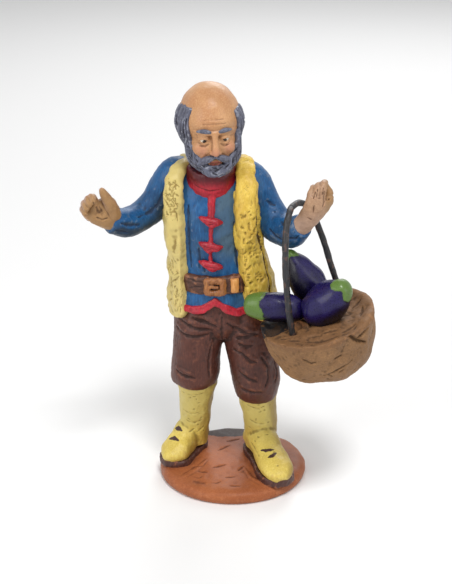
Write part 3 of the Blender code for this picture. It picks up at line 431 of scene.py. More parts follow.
def painted(
    name, coat, shade, light, bare, rough=0.45, wear=0.3, wash_and_shade=0.7, streak=(1, 1, 0.25),
    pits=0.0, areas=(), washes_and_shades=(), patch=5.0, relief=0.05, seed=0.0, gloss=0.36,
):
    """Brushed paint over fired clay.

    coat, shade and light are the paint's own colours; bare shows where it has worn off a ridge.
    areas are (mark, colour) of paint laid over it with an edge, and the soft coats and shades
    are the same without one; some of those are painted shade or painted light. pits is how much of
    it is specked.
    """
    paint = Paint(name)
    clouds = paint.ramp(paint.speckle(patch, shift=seed), 0.35, 0.65, 0.0, 0.55)
    hairs = paint.speckle(0.30, 5.0, [1 / share for share in streak], seed + 3)
    coat, shade, light, bare = (colour(*hue) for hue in (coat, shade, light, bare))
    hue = paint.mixed(clouds, coat, shade)
    hue = paint.mixed(paint.ramp(hairs, 0.50, 0.75, 0.0, 0.45), hue, light)
    hue = paint.mixed(paint.ramp(hairs, 0.50, 0.28, 0.0, 0.40), hue, shade)
    chips = paint.ramp(paint.speckle(1.1, 6.0, shift=seed + 7), 0.55, 0.60)
    for mark, over in washes_and_shades:
        hue = paint.mixed(paint.own(mark), hue, colour(*over))
    for mark, over in areas:
        hue = paint.mixed(paint.area(mark), hue, colour(*over))
    worn = paint.times(paint.ramp(paint.own("ridge"), 0.35, 0.9, 0.0, wear), chips)
    hue = paint.mixed(worn, hue, bare)
    # Dark in the hollows: partly paint that pooled there, partly painted shade.
    pooled_and_shaded = paint.times(
        paint.ramp(paint.own("hollow"), 0.10, 0.85, 0.0, wash_and_shade),
        paint.ramp(paint.speckle(0.8, shift=seed + 1), 0.25, 0.6, 0.6, 1.0),
    )
    dark = paint.mixed(0.65, shade, colour(*DARK_EARTH))
    hue = paint.mixed(pooled_and_shaded, hue, dark)
    specks = paint.ramp(paint.speckle(0.42, 2.0, shift=seed + 5), 0.67, 0.71)
    spread = paint.ramp(paint.speckle(3.0, 1.0, shift=seed + 9), 0.48, 0.62, 0.0, pits)
    specks = paint.times(specks, spread)
    hue = paint.mixed(specks, hue, dark)
    paint.put(paint.shader.inputs["Base Color"], hue)
    paint.shader.inputs["Specular IOR Level"].default_value = gloss
    sheen = paint.sum(
        paint.ramp(hairs, 0.3, 0.7, rough - 0.08, rough + 0.12), paint.times(pooled_and_shaded, 0.3)
    )
    paint.put(paint.shader.inputs["Roughness"], sheen)
    height = paint.sum(
        paint.sum(hairs, paint.times(paint.speckle(0.14, 3.0, shift=seed + 2), 0.35)),
        paint.times(specks, -1.6),
    )
    bump = paint.add("ShaderNodeBump")
    bump.inputs["Strength"].default_value = 0.8
    bump.inputs["Distance"].default_value = relief * MM
    paint.put(bump.inputs["Height"], height)
    paint.put(paint.shader.inputs["Normal"], bump.outputs["Normal"])
    return paint.material


earth_paint = painted(
    "base_terracotta", (163, 96, 58), (126, 66, 40), (186, 116, 76), (190, 124, 86), rough=0.42,
    wear=0.25, wash_and_shade=0.8, streak=(1, 1, 1), patch=7, areas=(("back_brown", (44, 24, 16)),),
    relief=0.05, gloss=0.2,
)
# Boot yellow, duller and greyer up the shaft, with painted shade on the sides facing +X.
boot_paint = painted(
    "boot_yellow", (219, 196, 97), (184, 156, 68), (236, 219, 130), (170, 120, 70), rough=0.4,
    wash_and_shade=0.8, pits=0.5, patch=6, wear=0.25,
    washes_and_shades=(("cool_top", (194, 178, 104)), ("painted_shade_side", (132, 102, 36))),
    areas=(("dashes", (62, 38, 34)),),
)
sole_paint = painted(
    "sole_brown", (80, 48, 42), (52, 30, 27), (112, 72, 60), (150, 92, 62), rough=0.42, wear=0.7,
)
trouser_paint = painted(
    "trouser_brown", (84, 44, 33), (58, 28, 22), (112, 66, 50), (136, 82, 58), rough=0.44,
    wear=0.35, wash_and_shade=0.9,
)


# Base: a disc flattened by hand, with thumb dents and scratches
BASE_ROWS = (
    (0, 15.5, 15.2), (0.55, 16.05, 15.75), (1.5, 16.1, 15.8), (2.3, 15.7, 15.4), (2.85, 14.6, 14.3),
    (3.1, 12.4, 12.2), (3.3, 8, 8), (3.38, 2, 2),
)
BASE_SCRATCH_HEIGHT = 3.35
BASE_SCRATCHES = (
    ((-9.4, -8.2), (-7.4, -9.2), (-6.2, -8)), ((-7.8, -6.4), (-5.4, -7)),
    ((-6.2, -10.8), (-3.6, -11.4), (-2.2, -10.6)), ((-4.4, -5.2), (-1.6, -3.8)),
    ((-2, -9.2), (1, -8.6)), ((-1.2, -12.6), (2.2, -12.9)), ((-9, -4.6), (-6.6, -4.2)),
    ((1, -6.4), (2.4, -4.2)), ((-3.2, 3), (-0.6, 5.2)), ((-1.4, 7.2), (1.8, 8.6)),
    ((10.8, 4.2), (12.4, 1.6)),
)
BASE_RIMS = (
    ((-14.6, -8.2), (-11, -8.8), (-8.2, -5.8), (-5.6, -1.6)),
    ((2, -4), (4, -9.6), (8.4, -13.4), (11.6, -14), (13.6, -9.8)),
)
BASE_DENT = ((-8.2, -10.4), (-6.6, -11))


def on_base(paths):
    return [[(x, y, BASE_SCRATCH_HEIGHT) for x, y in path] for path in paths]


def build_base():
    clay = fused([rod(upright(BASE_ROWS), 96, level=True, steps=3)], 0.25)
    points = clay.points
    top = eased(points[:, 2], 0.6, 1.6)
    clay.push(waves(points, 9.0, 3) * 0.16 * top)
    clay.push(waves(points, 2.4, 4) * 0.05 * top)
    clay.carve(on_base(BASE_SCRATCHES), 0.55, 0.22)
    clay.raise_up(on_base(BASE_RIMS), 0.9, 0.22)
    clay.carve(on_base([BASE_DENT]), 1.6, 0.22, taper=0.2)
    clay.points[:, 2] = np.maximum(clay.points[:, 2], 0.0)
    x, y = clay.points[:, 0], clay.points[:, 1]
    clay.mark("back_brown", 3.6 - np.hypot((x + 1.0) * 0.6, y - 13.2))
    clay.finish("clay_base", earth_paint)


# Boots
BASE_TOP = 3.0
SOLE_LEDGE = 0.15
SOLE_THICKNESS = 1.9
SOLE_OUTLINE = (
    (-0.04, 0.42), (0.02, 0.74), (0.15, 0.92), (0.35, 0.9), (0.55, 0.96), (0.74, 1.08), (0.88, 1),
    (0.97, 0.72), (1.03, 0.28),
)
FOOT_PROFILE = (
    (-0.05, 0.4, 2.4), (0, 0.72, 4.4), (0.08, 0.88, 6.2), (0.24, 0.93, 8.6), (0.4, 0.91, 8.2),
    (0.56, 0.96, 6.5), (0.74, 1.03, 5.2), (0.88, 0.95, 4.4), (0.98, 0.7, 3.4), (1.03, 0.36, 2.2),
)
BOOTS = {
    "right": {
        "heel": (-7.6, 7.6), "toe": (-14, -3.7), "half_width": 3.3, "seeds": (11, 21),
        "shaft": (
            (-8.7, 5, 5, 3.2, 3.6), (-8.7, 4.3, 8, 3.3, 3.7), (-8.4, 3.3, 12, 3.4, 3.6),
            (-8.2, 2, 16, 3.6, 3.8), (-7.9, 1.1, 19.5, 4, 4.1), (-7.8, 0.8, 22, 4.6, 4.5),
            (-7.8, 0.8, 24.5, 3.6, 3.6),
        ),
        "creases": (
            ((-11.4, 15.2), (-9.6, 14.4), (-7.2, 14.8)),
            ((-10.6, 12.2), (-8.4, 11.6), (-6.6, 12.4)), ((-11.2, 20.2), (-8.8, 19.6), (-6, 20.4)),
            ((-7.4, 9.2), (-6, 10.4)),
        ),
        "nicks": (
            (-8.6, 19.2), (-8.2, 18.5), (-9.6, 18.9), (-7.4, 17.4), (-8.8, 15.6), (-6.8, 13),
            (-7.6, 11), (-6.2, 9), (-9.2, 9.8), (-10.2, 12.6),
        ),
        "dashes": (
            ((-13.2, 10.05), (-12.4, 10.3), (-11.5, 10.15)),
            ((-14.5, 8.95), (-13.4, 8.8), (-12, 8.8)),
        ),
        "dash_half_width": 0.52,
    },
    "left": {
        "heel": (5, 5.6), "toe": (10.4, -12.3), "half_width": 3.6, "seeds": (12, 22),
        "shaft": (
            (6, 2.8, 5, 3.3, 3.8), (6.3, 2.4, 8, 3.5, 3.9), (6.2, 1.6, 11, 3.7, 3.9),
            (5.8, 0.8, 15, 3.9, 4), (5.4, 0.4, 18.5, 4.3, 4.3), (5.3, 0.3, 20.5, 4.5, 4.4),
            (5.3, 0.3, 22.5, 3.4, 3.4),
        ),
        "creases": (
            ((3.4, 13.6), (5.4, 12.6), (8.4, 13.2)), ((3.2, 11.4), (5.2, 10.6), (7.8, 11.2)),
            ((2.8, 17.4), (5.2, 16.6), (8.6, 17.4)), ((3.6, 8.4), (5.4, 7.8)),
        ),
        "nicks": (
            (6.2, 16.9), (6.8, 17.2), (7.2, 16.4), (5.4, 17.6), (6, 15.8), (4.6, 13.8), (8.8, 9),
            (5.2, 10.4), (9.4, 7.6), (4.4, 9.4),
        ),
        "dashes": (((5.9, 8.7), (7.3, 9.1), (8.9, 9.3)), ((7.5, 8.3), (8.5, 8.65), (9.5, 8.9))),
        "dash_half_width": 0.4,
    },
}


def shape_boot(side, boot):
    """A foot and a shaft, with painted laces, and a slab of a sole cut off unevenly."""
    heel, toe = Vector((*boot["heel"], 0)), Vector((*boot["toe"], 0))
    length = (toe - heel).length
    along = (toe - heel) / length
    across = along.cross(Vector((0, 0, 1)))
    half_width = boot["half_width"]
    sections = []
    for share, width, height in FOOT_PROFILE:
        centre = heel + along * length * share
        half = height / 2
        sections.append((centre.x, centre.y, BASE_TOP + 0.3 + half, half_width * width, half))
    foot = rod(sections, 32, lean=(0, 0, 1))
    clay = fused([foot, rod(boot["shaft"], 32, level=True)], 0.2, settle=5)
    clay.points[:, 2] = np.maximum(clay.points[:, 2], BASE_TOP)
    clay.lumps(4.0, 0.12, boot["seeds"][0])
    clay.lumps(1.2, 0.03, 13)
    clay.carve(clay.all_on_front(boot["creases"]), 0.6, 0.12)
    nicks = clay.all_on_front(((x, z), (x + 0.3, z + 0.1)) for x, z in boot["nicks"])
    clay.carve(nicks, 0.32, 0.16, taper=0.2)
    lace = boot["dash_half_width"]
    gaps = [
        gap_to_line(clay.points, dash, lace, taper=0.6)
        for dash in clay.all_on_front(boot["dashes"])
    ]
    clay.mark("dashes", (1 - np.minimum.reduce(gaps)) * lace)
    # The shaft duller and greyer from the instep up; painted shade on the sides facing +X.
    clay.mark("cool_top", 0.8 * eased(clay.points[:, 2], 8.0, 13.0))
    clay.mark("painted_shade_side", 0.8 * eased(clay.normals()[:, 0], 0.30, 0.95))
    clay.finish(f"{side}_boot", boot_paint)

    bm = bmesh.new()
    corners = []
    for sign, row in ((1, SOLE_OUTLINE), (-1, SOLE_OUTLINE[::-1])):
        for share, width in smooth_rows(row, 4):
            place = heel + along * length * share
            place += across * width * (half_width + SOLE_LEDGE) * sign
            corners.append(bm.verts.new((place.x, place.y, BASE_TOP - 0.4)))
    face = bm.faces.new(corners)
    raised = bmesh.ops.extrude_face_region(bm, geom=[face])["geom"]
    top = [item for item in raised if isinstance(item, bmesh.types.BMVert)]
    bmesh.ops.translate(bm, vec=(0, 0, SOLE_THICKNESS), verts=top)
    clay = fused([as_form(bm)], 0.2, settle=4)
    clay.lumps(2.2, 0.10, boot["seeds"][1])
    clay.lumps(0.9, 0.04, 23)
    clay.finish(f"{side}_sole", sole_paint)


# Trousers: two legs that blouse over the boots, with folds pressed in at the hips and knees
LEGS = (
    (
        (-6.3, 0.8, 42.5, 4.4, 5.2), (-6.8, 0.6, 39, 5.7, 6.3), (-7.3, 0.2, 34, 5.4, 6),
        (-8, -0.2, 28.5, 5.2, 5.5), (-8.2, 0, 24.5, 5.35, 5.5), (-8.3, 0.3, 22.4, 4.95, 5.1),
        (-8.2, 0.6, 21.6, 3.9, 4.1),
    ),
    (
        (2.1, 0.8, 42.5, 4.6, 5.2), (2.6, 0.6, 39, 5.9, 6.4), (3.4, 0, 34, 5.7, 6.1),
        (4.4, -0.6, 28, 5.4, 5.7), (5, -0.6, 24, 5.35, 5.7), (5.2, -0.2, 20.6, 4.9, 5.2),
        (5.3, 0.1, 18.7, 4.3, 4.5), (5.3, 0.3, 18, 3.4, 3.6),
    ),
)
SEAT = (
    (-2.2, 0.8, 33.6, 4, 4.2), (-2.2, 0.9, 35, 8, 5.8), (-2.2, 0.8, 38, 10, 7.1),
    (-2.6, 0.7, 41.5, 9.4, 6.5), (-3.2, 0.6, 45, 8.4, 5.8),
)
TROUSER_FOLDS = (
    ((-12, 38.6), (-9.4, 37.6), (-6.6, 36.6), (-4.4, 36)),
    ((-12.4, 36.2), (-10.2, 35.2), (-7.4, 35), (-5, 35.2)),
    ((-9, 39.6), (-6.2, 38.6), (-3.6, 37.2)), ((-2.6, 40), (-2.5, 37), (-2.4, 33.4)),
    ((-1, 38.6), (0.6, 37), (2.8, 36.2), (5.4, 36)), ((0.2, 34.8), (2.4, 35), (5, 36)),
    ((0.8, 33.6), (2.6, 33), (4.4, 33.2)), ((-0.4, 31.8), (1.6, 31), (3.6, 29.8), (5.4, 29.2)),
    ((1, 26.6), (3, 25.2), (5.2, 24.6)), ((6.4, 30.6), (7.8, 28), (8, 25.4), (7.2, 23)),
    ((9.2, 29), (9.8, 26.6), (9.4, 24.2)), ((-4.2, 33), (-4.8, 29), (-4.6, 25.2)),
    ((-12.6, 26.4), (-10.6, 25.4), (-8, 25.2)), ((1.2, 22.4), (3.6, 21.6), (6.4, 21.8)),
)
TROUSER_FOLDS_BEHIND = (
    ((-11.6, 36), (-8, 35), (-4, 34.2)), ((-3.6, 33.4), (0.6, 34.4), (6, 36.6)),
    ((-12, 30.4), (-8.4, 29.2), (-5, 29.8)), ((1.6, 30.2), (5, 29), (8.4, 30.4)),
    ((-11.4, 26), (-8.2, 25.2), (-5.2, 26)), ((1.8, 24.6), (5.2, 23.6), (8.8, 24.6)),
)


def build_trousers():
    forms = [rod(leg, 36, level=True) for leg in LEGS] + [rod(SEAT, 40, level=True)]
    clay = fused(forms, 0.25, settle=5)
    clay.lumps(5.0, 0.16, 31)
    folds = clay.all_on_front(TROUSER_FOLDS) + clay.all_on_front(TROUSER_FOLDS_BEHIND, 1)
    clay.raise_up([[p + (0, 0, 0.9) for p in line] for line in folds], 1.1, 0.20)
    clay.carve(folds, 0.75, 0.42)
    clay.lumps(1.1, 0.035, 32)
    clay.finish("trousers", trouser_paint)


# Jacket blue: its near-navy soft coat is painted shade on the undersides and in the armpit.
jacket_paint = painted(
    "jacket_blue", (20, 84, 138), (14, 48, 82), (50, 116, 162), (122, 132, 140), rough=0.4,
    wear=0.35, wash_and_shade=0.85, streak=(1, 1, 0.18), patch=6,
    washes_and_shades=(("greyed", (68, 92, 110)), ("under", (16, 38, 56))),
)
# Red trim; its dark soft coat is painted shade below the beard.
red_paint = painted(
    "trim_red", (176, 30, 48), (116, 16, 34), (206, 58, 66), (150, 80, 66), rough=0.4, wear=0.25,
    wash_and_shade=0.8, patch=3, washes_and_shades=(("under", (66, 3, 14)),),
)
leather_paint = painted(
    "belt_brown", (82, 50, 38), (54, 30, 24), (110, 72, 54), (150, 98, 66), rough=0.42, wear=0.6,
    wash_and_shade=0.9, streak=(0.3, 1, 1), patch=3,
)
buckle_paint = painted(
    "buckle_ochre", (154, 98, 54), (98, 58, 34), (190, 134, 76), (190, 130, 84), rough=0.38,
    wear=0.4, wash_and_shade=0.9, patch=1.6,
)
keeper_paint = painted(
    "keeper_ochre", (216, 152, 84), (170, 108, 58), (232, 184, 116), (190, 130, 84), rough=0.38,
    wear=0.3, wash_and_shade=0.7, patch=1.6,
)
# Waistcoat yellow; its right side paler and cooler as painted light, with a painted shadow along
# the seam.
fleece_paint = painted(
    "waistcoat_yellow", (217, 184, 76), (184, 144, 50), (237, 213, 118), (188, 138, 78), rough=0.42,
    wear=0.2, wash_and_shade=0.75, patch=5, relief=0.07, pits=0.7, washes_and_shades=(("painted_cool_light", (205, 185, 114)),),
    areas=(("seam_shadow", (70, 46, 24)),),
)


# Jacket: centre x, centre y, half width and half depth of the trunk at each height
TRUNK = (
    (38, -2.3, 0.8, 10, 7.1), (40, -2.4, 0.8, 9.9, 7), (46, -3.4, 0.6, 8.8, 6.6),
    (52, -4.2, 0.3, 8.6, 6.4), (60, -4.6, 0.2, 9, 6.8), (67, -4.7, 0.8, 9, 6),
    (71, -4.6, 1.2, 6.5, 4.6), (75, -4.6, 1, 4, 3.6),
)
JACKET_BODY = (
    (-3.2, 0.6, 44, 8.5, 6.3), (-3.4, 0.6, 46, 8.7, 6.5), (-4.2, 0.3, 52, 8.5, 6.3),
    (-4.6, 0.2, 60, 8.9, 6.7), (-4.7, 0.8, 67, 8.7, 5.9), (-4.6, 1.2, 71, 6.2, 4.4),
    (-4.6, 0.9, 73, 4, 3.6), (-4.6, 0.6, 74, 2.5, 2.5),
)
SLEEVES = (
    (
        (-7.4, 1.2, 68.1, 3.8), (-11.6, 1.2, 68.9, 3.9), (-14.3, 1.2, 66, 3.6),
        (-16.4, 1, 62.7, 3.35), (-18.9, 0.1, 60.3, 3.25), (-21.8, -3, 59.9, 3.05),
        (-24.4, -5.9, 61, 2.8), (-25.6, -7, 61.2, 2.4),
    ),
    (
        (-1.6, 1.2, 67.8, 3.9), (2, 1.2, 68.3, 4), (5, 1.3, 65.8, 3.65), (7.1, 0.8, 61.9, 3.4),
        (9.2, -1.4, 58.6, 3.6), (11.7, -5, 58.5, 3.35), (13.5, -8.3, 60.6, 2.7),
        (14, -9.1, 61.2, 2.45),
    ),
)
JACKET_FOLDS = (
    ((-9.6, 64.5), (-9.7, 60), (-9.2, 50.4)), ((-7.5, 55), (-7.4, 50.6)),
    ((0.4, 61), (0.7, 56), (1.4, 50.6)), ((-6.6, 52.6), (-6.2, 50.2)),
    ((-15.4, 63.8), (-17, 62.2), (-19.4, 61.8)), ((-14.2, 66.2), (-15.6, 63)),
    ((-19, 59.6), (-20.8, 60.4), (-22.4, 61.6)), ((-21.6, 58.4), (-23.4, 59.6)),
    ((8.6, 62.6), (9.6, 61), (12, 60.6)), ((7.2, 64.2), (8.8, 63.6)),
    ((7, 59.4), (8.6, 57.6), (10.8, 57.2)), ((10.6, 58), (12.4, 58.4), (13.6, 59.4)),
)
JACKET_FOLDS_BEHIND = (
    ((-15.6, 65), (-17, 62.4), (-19.6, 61.4)), ((6.8, 63.6), (8.4, 61.2), (10, 60.2)),
    ((-17.6, 59.4), (-19.6, 59)), ((7.2, 59), (9.4, 57.4)),
)


def trunk_at(height):
    """Centre x, centre y, half width and half depth of the trunk at a height."""
    levels = [row[0] for row in TRUNK]
    return [float(np.interp(height, levels, [row[k] for row in TRUNK])) for k in (1, 2, 3, 4)]


def front_of_trunk(x, height, stand=0.0):
    centre_x, centre_y, half_u, half_v = trunk_at(height)
    share = min(0.98, abs(x - centre_x) / half_u)
    return centre_y - half_v * math.sqrt(1 - share * share) - stand


def build_jacket():
    forms = [rod(JACKET_BODY, 44, level=True)] + [rod(round_rows(path), 32) for path in SLEEVES]
    clay = fused(forms, 0.26, settle=5)
    clay.lumps(6.0, 0.16, 41)
    folds = clay.all_on_front(JACKET_FOLDS) + clay.all_on_front(JACKET_FOLDS_BEHIND, 1)
    clay.carve(folds, 0.8, 0.28)
    clay.lumps(1.4, 0.035, 42)
    x, y, z = clay.points.T
    facing = clay.normals()
    chest = eased(-y, 3.0, 5.0) * eased(z, 50, 56) * eased(x, -5.5, -2.5) * eased(-x, -4, -1)
    # Greyer, paler blue over the chest and in loose patches.
    clay.mark("greyed", chest * 0.75 + 0.2 * eased(waves(clay.points, 5.0, 43), 0.1, 0.7))
    # Painted shade: darker blue on surfaces facing down, most on the right forearm, and in the
    # armpit.
    forearm = eased(-x, 14.0, 18.0)
    armpit = eased(x, -18.0, -15.0) * eased(-z, -66.5, -63.0) * eased(-x, 10.0, 12.0)
    under = eased(-facing[:, 2], -0.45 * forearm, 0.55) * (0.35 + 0.55 * forearm)
    clay.mark("under", np.maximum(under, 0.8 * armpit))
    clay.finish("jacket", jacket_paint)


# Skirt of the jacket and its red hem: heights of the hem's edges along the front
HEM_X = (-13.0, -9.4, -7.6, -6.0, -3.8, -1.6, 0.7, 3.6, 8.0)
HEM_LOW = (40.6, 40.8, 40.6, 41.0, 42.8, 41.0, 40.1, 40.7, 40.8)
HEM_HIGH = (41.8, 42.2, 42.3, 42.9, 44.5, 42.9, 41.9, 42.2, 42.2)
SKIRT_TOP = 46.4


def skirt_wall(low, high, stand, thickness):
    """A ring round the hips, whose lower and upper edges follow x along the front."""

    def wall(share_across, share_up, inward):
        angle = (2 * share_across - 1) * math.pi * 1.01
        centre_x, centre_y, half_u, half_v = trunk_at(SKIRT_TOP)
        in_front = math.cos(angle) > 0
        edge_x = centre_x + (half_u + 1.0) * math.sin(angle)
        bottom = float(np.interp(edge_x, HEM_X, low)) if in_front else low[0]
        top = high
        if not isinstance(high, float):
            top = float(np.interp(edge_x, HEM_X, high)) if in_front else high[0]
        height = bottom + (top - bottom) * share_up
        flare = stand + 1.0 * (SKIRT_TOP - height) / (SKIRT_TOP - 40.0) - inward
        return (
            centre_x + (half_u + flare) * math.sin(angle),
            centre_y - (half_v + flare) * math.cos(angle),
            height,
        )

    return wrap(
        lambda i, j: wall(i, j, 0.0), lambda i, j: wall(i, j, thickness), 140, 10
    )


def build_skirt():
    clay = fused([skirt_wall(HEM_LOW, SKIRT_TOP, 0.1, 2.4)], 0.24, settle=3)
    clay.lumps(3.0, 0.12, 51)
    # The skirt greyer towards +X.
    clay.mark("greyed", 0.35 * eased(clay.points[:, 0], -3.0, 2.0))
    clay.mark("under", np.zeros(len(clay.points)))
    clay.finish("jacket_skirt", jacket_paint)
    clay = fused([skirt_wall(HEM_LOW, HEM_HIGH, 0.55, 1.3)], 0.18, settle=3)
    clay.lumps(1.6, 0.10, 52)
    clay.mark("under", np.zeros(len(clay.points)))
    clay.finish("red_hem", red_paint)


# Belt with its buckle and keeper
BELT = (
    (-3.4, 0.6, 44.9, 8.9, 6.6), (-3.4, 0.6, 45.25, 9.6, 7.35), (-3.5, 0.6, 47, 9.65, 7.45),
    (-3.5, 0.6, 48.7, 9.6, 7.35), (-3.5, 0.6, 49.1, 8.9, 6.6),
)
BELT_CREASES = (
    ((-9.6, 46.2), (-8.4, 46.6), (-7, 46.4)), ((-9.8, 48.2), (-8, 48), (-6.6, 48.2)),
    ((1.6, 48.6), (1.7, 45.4)),
)
BUCKLE_CENTRE = (-3.8, 47.0)
BUCKLE_SIZE = (4.6, 3.8)
KEEPER_CENTRE = (0.3, 47.0)


def build_belt():
    clay = fused([rod(BELT, 96, level=True, steps=3)], 0.22, settle=2)
    clay.lumps(2.4, 0.12, 61)
    clay.carve(clay.all_on_front(BELT_CREASES), 0.45, 0.20)
    clay.lumps(0.9, 0.04, 62)
    clay.finish("belt", leather_paint)

    x, z = BUCKLE_CENTRE
    half_width, half_height = BUCKLE_SIZE[0] / 2 - 0.6, BUCKLE_SIZE[1] / 2 - 0.6
    y = front_of_trunk(x, z, 1.15)
    corners = [
        (x + side * half_width, y + 0.12 * abs(side), z + rise * half_height)
        for side, rise in ((-1, -1), (1, -1), (1, 1), (-1, 1), (-1, -1))
    ]
    forms = [
        thin_rod([first, second], (0.68, 0.68), lean=(0, 1, 0))
        for first, second in zip(corners, corners[1:])
    ]
    forms.append(thin_rod([(x - 1.2, y - 0.1, z + 0.1), (x + 0.5, y - 0.2, z)], (0.38, 0.30)))
    clay = fused(forms, 0.13, settle=3)
    clay.lumps(1.2, 0.10, 63)
    clay.finish("belt_buckle", buckle_paint)

    x, z = KEEPER_CENTRE
    y = front_of_trunk(x, z, 0.75)
    keeper = rod(
        ((x, y, z - 1.55, 0.7, 0.5), (x, y, z - 1.3, 0.95, 0.75), (x, y, z + 1.3, 0.95, 0.75),
         (x, y, z + 1.6, 0.7, 0.5)),
        24, level=True,
    )
    clay = fused([keeper], 0.13, settle=3)
    clay.lumps(1.2, 0.06, 64)
    clay.finish("belt_keeper", keeper_paint)


# Collar, button band and three knotted toggles
COLLAR = Matrix.Translation((-4.6, -1.0, 69.0)) @ Matrix.Rotation(math.radians(13), 4, "X")
TOGGLE_X = -4.6
TOGGLE_HEIGHTS = (61.2, 55.7, 51.5)
TOGGLE_DROOPS = (-0.35, -0.1, -0.5)
TOGGLE_SHIFTS = (0.2, -0.3, 0.3)
COLLAR_ROWS = (
    (-2.3, 4.6, 4.5), (-2, 5.1, 5), (0, 5.35, 5.3), (2, 5.2, 5.1), (2.9, 5, 4.8), (3.2, 4.4, 4.4),
    (2.6, 3.9, 3.9),
)
COLLAR_CREASE = ((-8.4, 68.6), (-6.4, 67.6), (-4.6, 67.2), (-2.6, 67.6))
BUTTON_BAND = (
    (67, 0.85, 0.2), (64.6, 0.82, 0.15), (62, 0.66, 0.1), (58.4, 0.46, 0), (54, 0.4, -0.1),
    (51, 0.3, 0),
)


def build_trim():
    forms = [rod(upright(COLLAR_ROWS), 64, level=True, turn=COLLAR)]
    band = [
        (TOGGLE_X + lean, front_of_trunk(TOGGLE_X, height, 0.10), height, half, 0.55)
        for height, half, lean in BUTTON_BAND
    ]
    forms.append(rod(band, 20, level=True))
    for z, droop, low in zip(TOGGLE_HEIGHTS, TOGGLE_DROOPS, TOGGLE_SHIFTS):
        for path, widths in (
            (((-2.4, 0.85, 0.1), (-1.3, 0.5, 0.5), (0, 0.1, 0.6)), (0.32, 0.72, 0.85)),
            (((0, 0.1, 0.6), (1.2, -0.1, 0.6), (2.3, droop, 0.1)), (0.85, 0.85, 0.35)),
            (((-1.0 + low, -0.4, 0.3), (low, -0.75, 0.5), (0.9 + low, -0.7, 0.3)), (0.4, 0.6, 0.4)),
        ):
            points = [
                (TOGGLE_X + across, front_of_trunk(TOGGLE_X + across, z + rise, stand), z + rise)
                for across, rise, stand in path
            ]
            forms.append(thin_rod(points, widths))
    clay = fused(forms, 0.16, settle=3)
    clay.lumps(1.5, 0.08, 71)
    knots = []
    for z in TOGGLE_HEIGHTS:
        knots.append(clay.on_front(((-6.3, z + 0.35), (-4.9, z - 0.1), (-2.9, z - 0.15))))
        knots.append(clay.on_front(((-5.6, z - 0.7), (-4.6, z - 0.35))))
    clay.carve(knots, 0.30, 0.16)
    clay.carve([clay.on_front(COLLAR_CREASE)], 0.5, 0.2)
    # Painted shade: the collar darkened towards its top, below the beard.
    clay.mark("under", 0.9 * eased(clay.points[:, 2], 67.8, 70.2))
    clay.finish("red_trim", red_paint)


# Waistcoat: how far it stands out on each side, and its front edges, at each height
VEST_LEVELS = (38.5, 42.0, 46.5, 51.0, 55.0, 60.0, 66.0, 71.5)
VEST_STAND_LEFT = (2.3, 2.8, 3.4, 2.6, 2.1, 1.6, 1.2, 0.9)
VEST_STAND_RIGHT = (1.6, 1.7, 1.6, 1.2, 1.1, 1.0, 0.9, 0.8)
VEST_EDGE_RIGHT = (-10.8, -11.0, -11.1, -11.1, -11.0, -11.2, -11.4, -11.8)
VEST_EDGE_LEFT = (4.6, 3.8, 3.0, 2.5, 1.9, 1.3, 1.0, 1.2)
VEST_FRONT_STAND = 1.55
VEST_THICKNESS = 3.2
VEST_SQUARENESS = 2.5
VEST_BOTTOM = 39.0
VEST_ARMHOLE = 60.5
VEST_FRONT_TOP = 67.0
VEST_BACK_TOP = 71.0
STRAPS = (
    (
        (-12.2, -5, 54.5, 0.4, 1.6), (-12.2, -5.5, 59, 1.1, 1.9), (-12.3, -5.5, 63, 1.4, 1.95),
        (-12.35, -5, 66.5, 1.4, 2), (-12, -3.9, 69.2, 1.3, 1.9), (-10.9, -2, 71, 1.15, 1.8),
        (-9.6, 0.8, 71.8, 1.1, 1.8), (-9.6, 4.2, 70.8, 1.3, 2.1), (-10.8, 6.4, 65, 1.4, 2.5),
        (-11, 6.6, 60, 1.1, 2.3), (-11, 5.9, 55, 0.4, 1.9),
    ),
    (
        (3.4, -5.6, 54.5, 0.4, 1.7), (2.9, -6.3, 59, 1.1, 2.1), (2.6, -6.2, 63, 1.5, 2.3),
        (2.7, -5.5, 66.2, 1.5, 2.3), (2.7, -3.9, 69.2, 1.35, 2.2), (2.4, -1.8, 71, 1.15, 2.2),
        (1.9, 1, 71.8, 1.05, 2.2), (1.8, 4.4, 70.8, 1.3, 2.3), (2.5, 6.6, 65, 1.4, 2.5),
        (2.8, 6.8, 60, 1.1, 2.3), (2.8, 6, 55, 0.4, 1.9),
    ),
)
VEST_SEAM = (
    (4.9, 70.6), (5.2, 66), (5.5, 61), (6.1, 56), (7.2, 51.2), (8.1, 47.6), (8.5, 43.6),
    (8.4, 40.6),
)


# Reach, depth and taper of strokes; patches of count, x, z, length, lean and side; single strokes
VEST_STROKES = (
    (0.36, 0.34, 0.7, [(34, (-14, -11), (62.5, 69.6), 2, -0.95)], ()),
    (
        0.34, 0.2, 0.7,
        [(18, (-14, -11.2), (43.6, 52.4), 2.2, 1.5), (16, (-13.6, -10.6), (40.6, 47), 1.6, 1.1)],
        (),
    ),
    (
        0.42, 0.36, 0.2,
        [(76, (1.4, 6.4), (44, 64), 0.5, 0.8), (22, (2.6, 7.6), (42, 50), 0.6, 0.8)],
        (
            ((2, 57.3), (2.4, 56.7), (2.6, 56.2)), ((3.4, 60.4), (3.7, 60)),
            ((4.2, 44), (4.8, 44.5), (5.2, 44.4)), ((1.8, 51.6), (2.2, 51.2)),
            ((5.2, 53), (5.5, 52.6)), ((2.6, 47.2), (2.9, 46.8)),
        ),
    ),
    (0.3, 0.06, 0.7, [(18, (0.8, 4.8), (63.5, 70), 2.8, 1.55)], ()),
    (0.42, 0.26, 0.7, [(120, (-13.5, 7), (41, 69.5), 1.8, 1.4, 1)], ()),
)


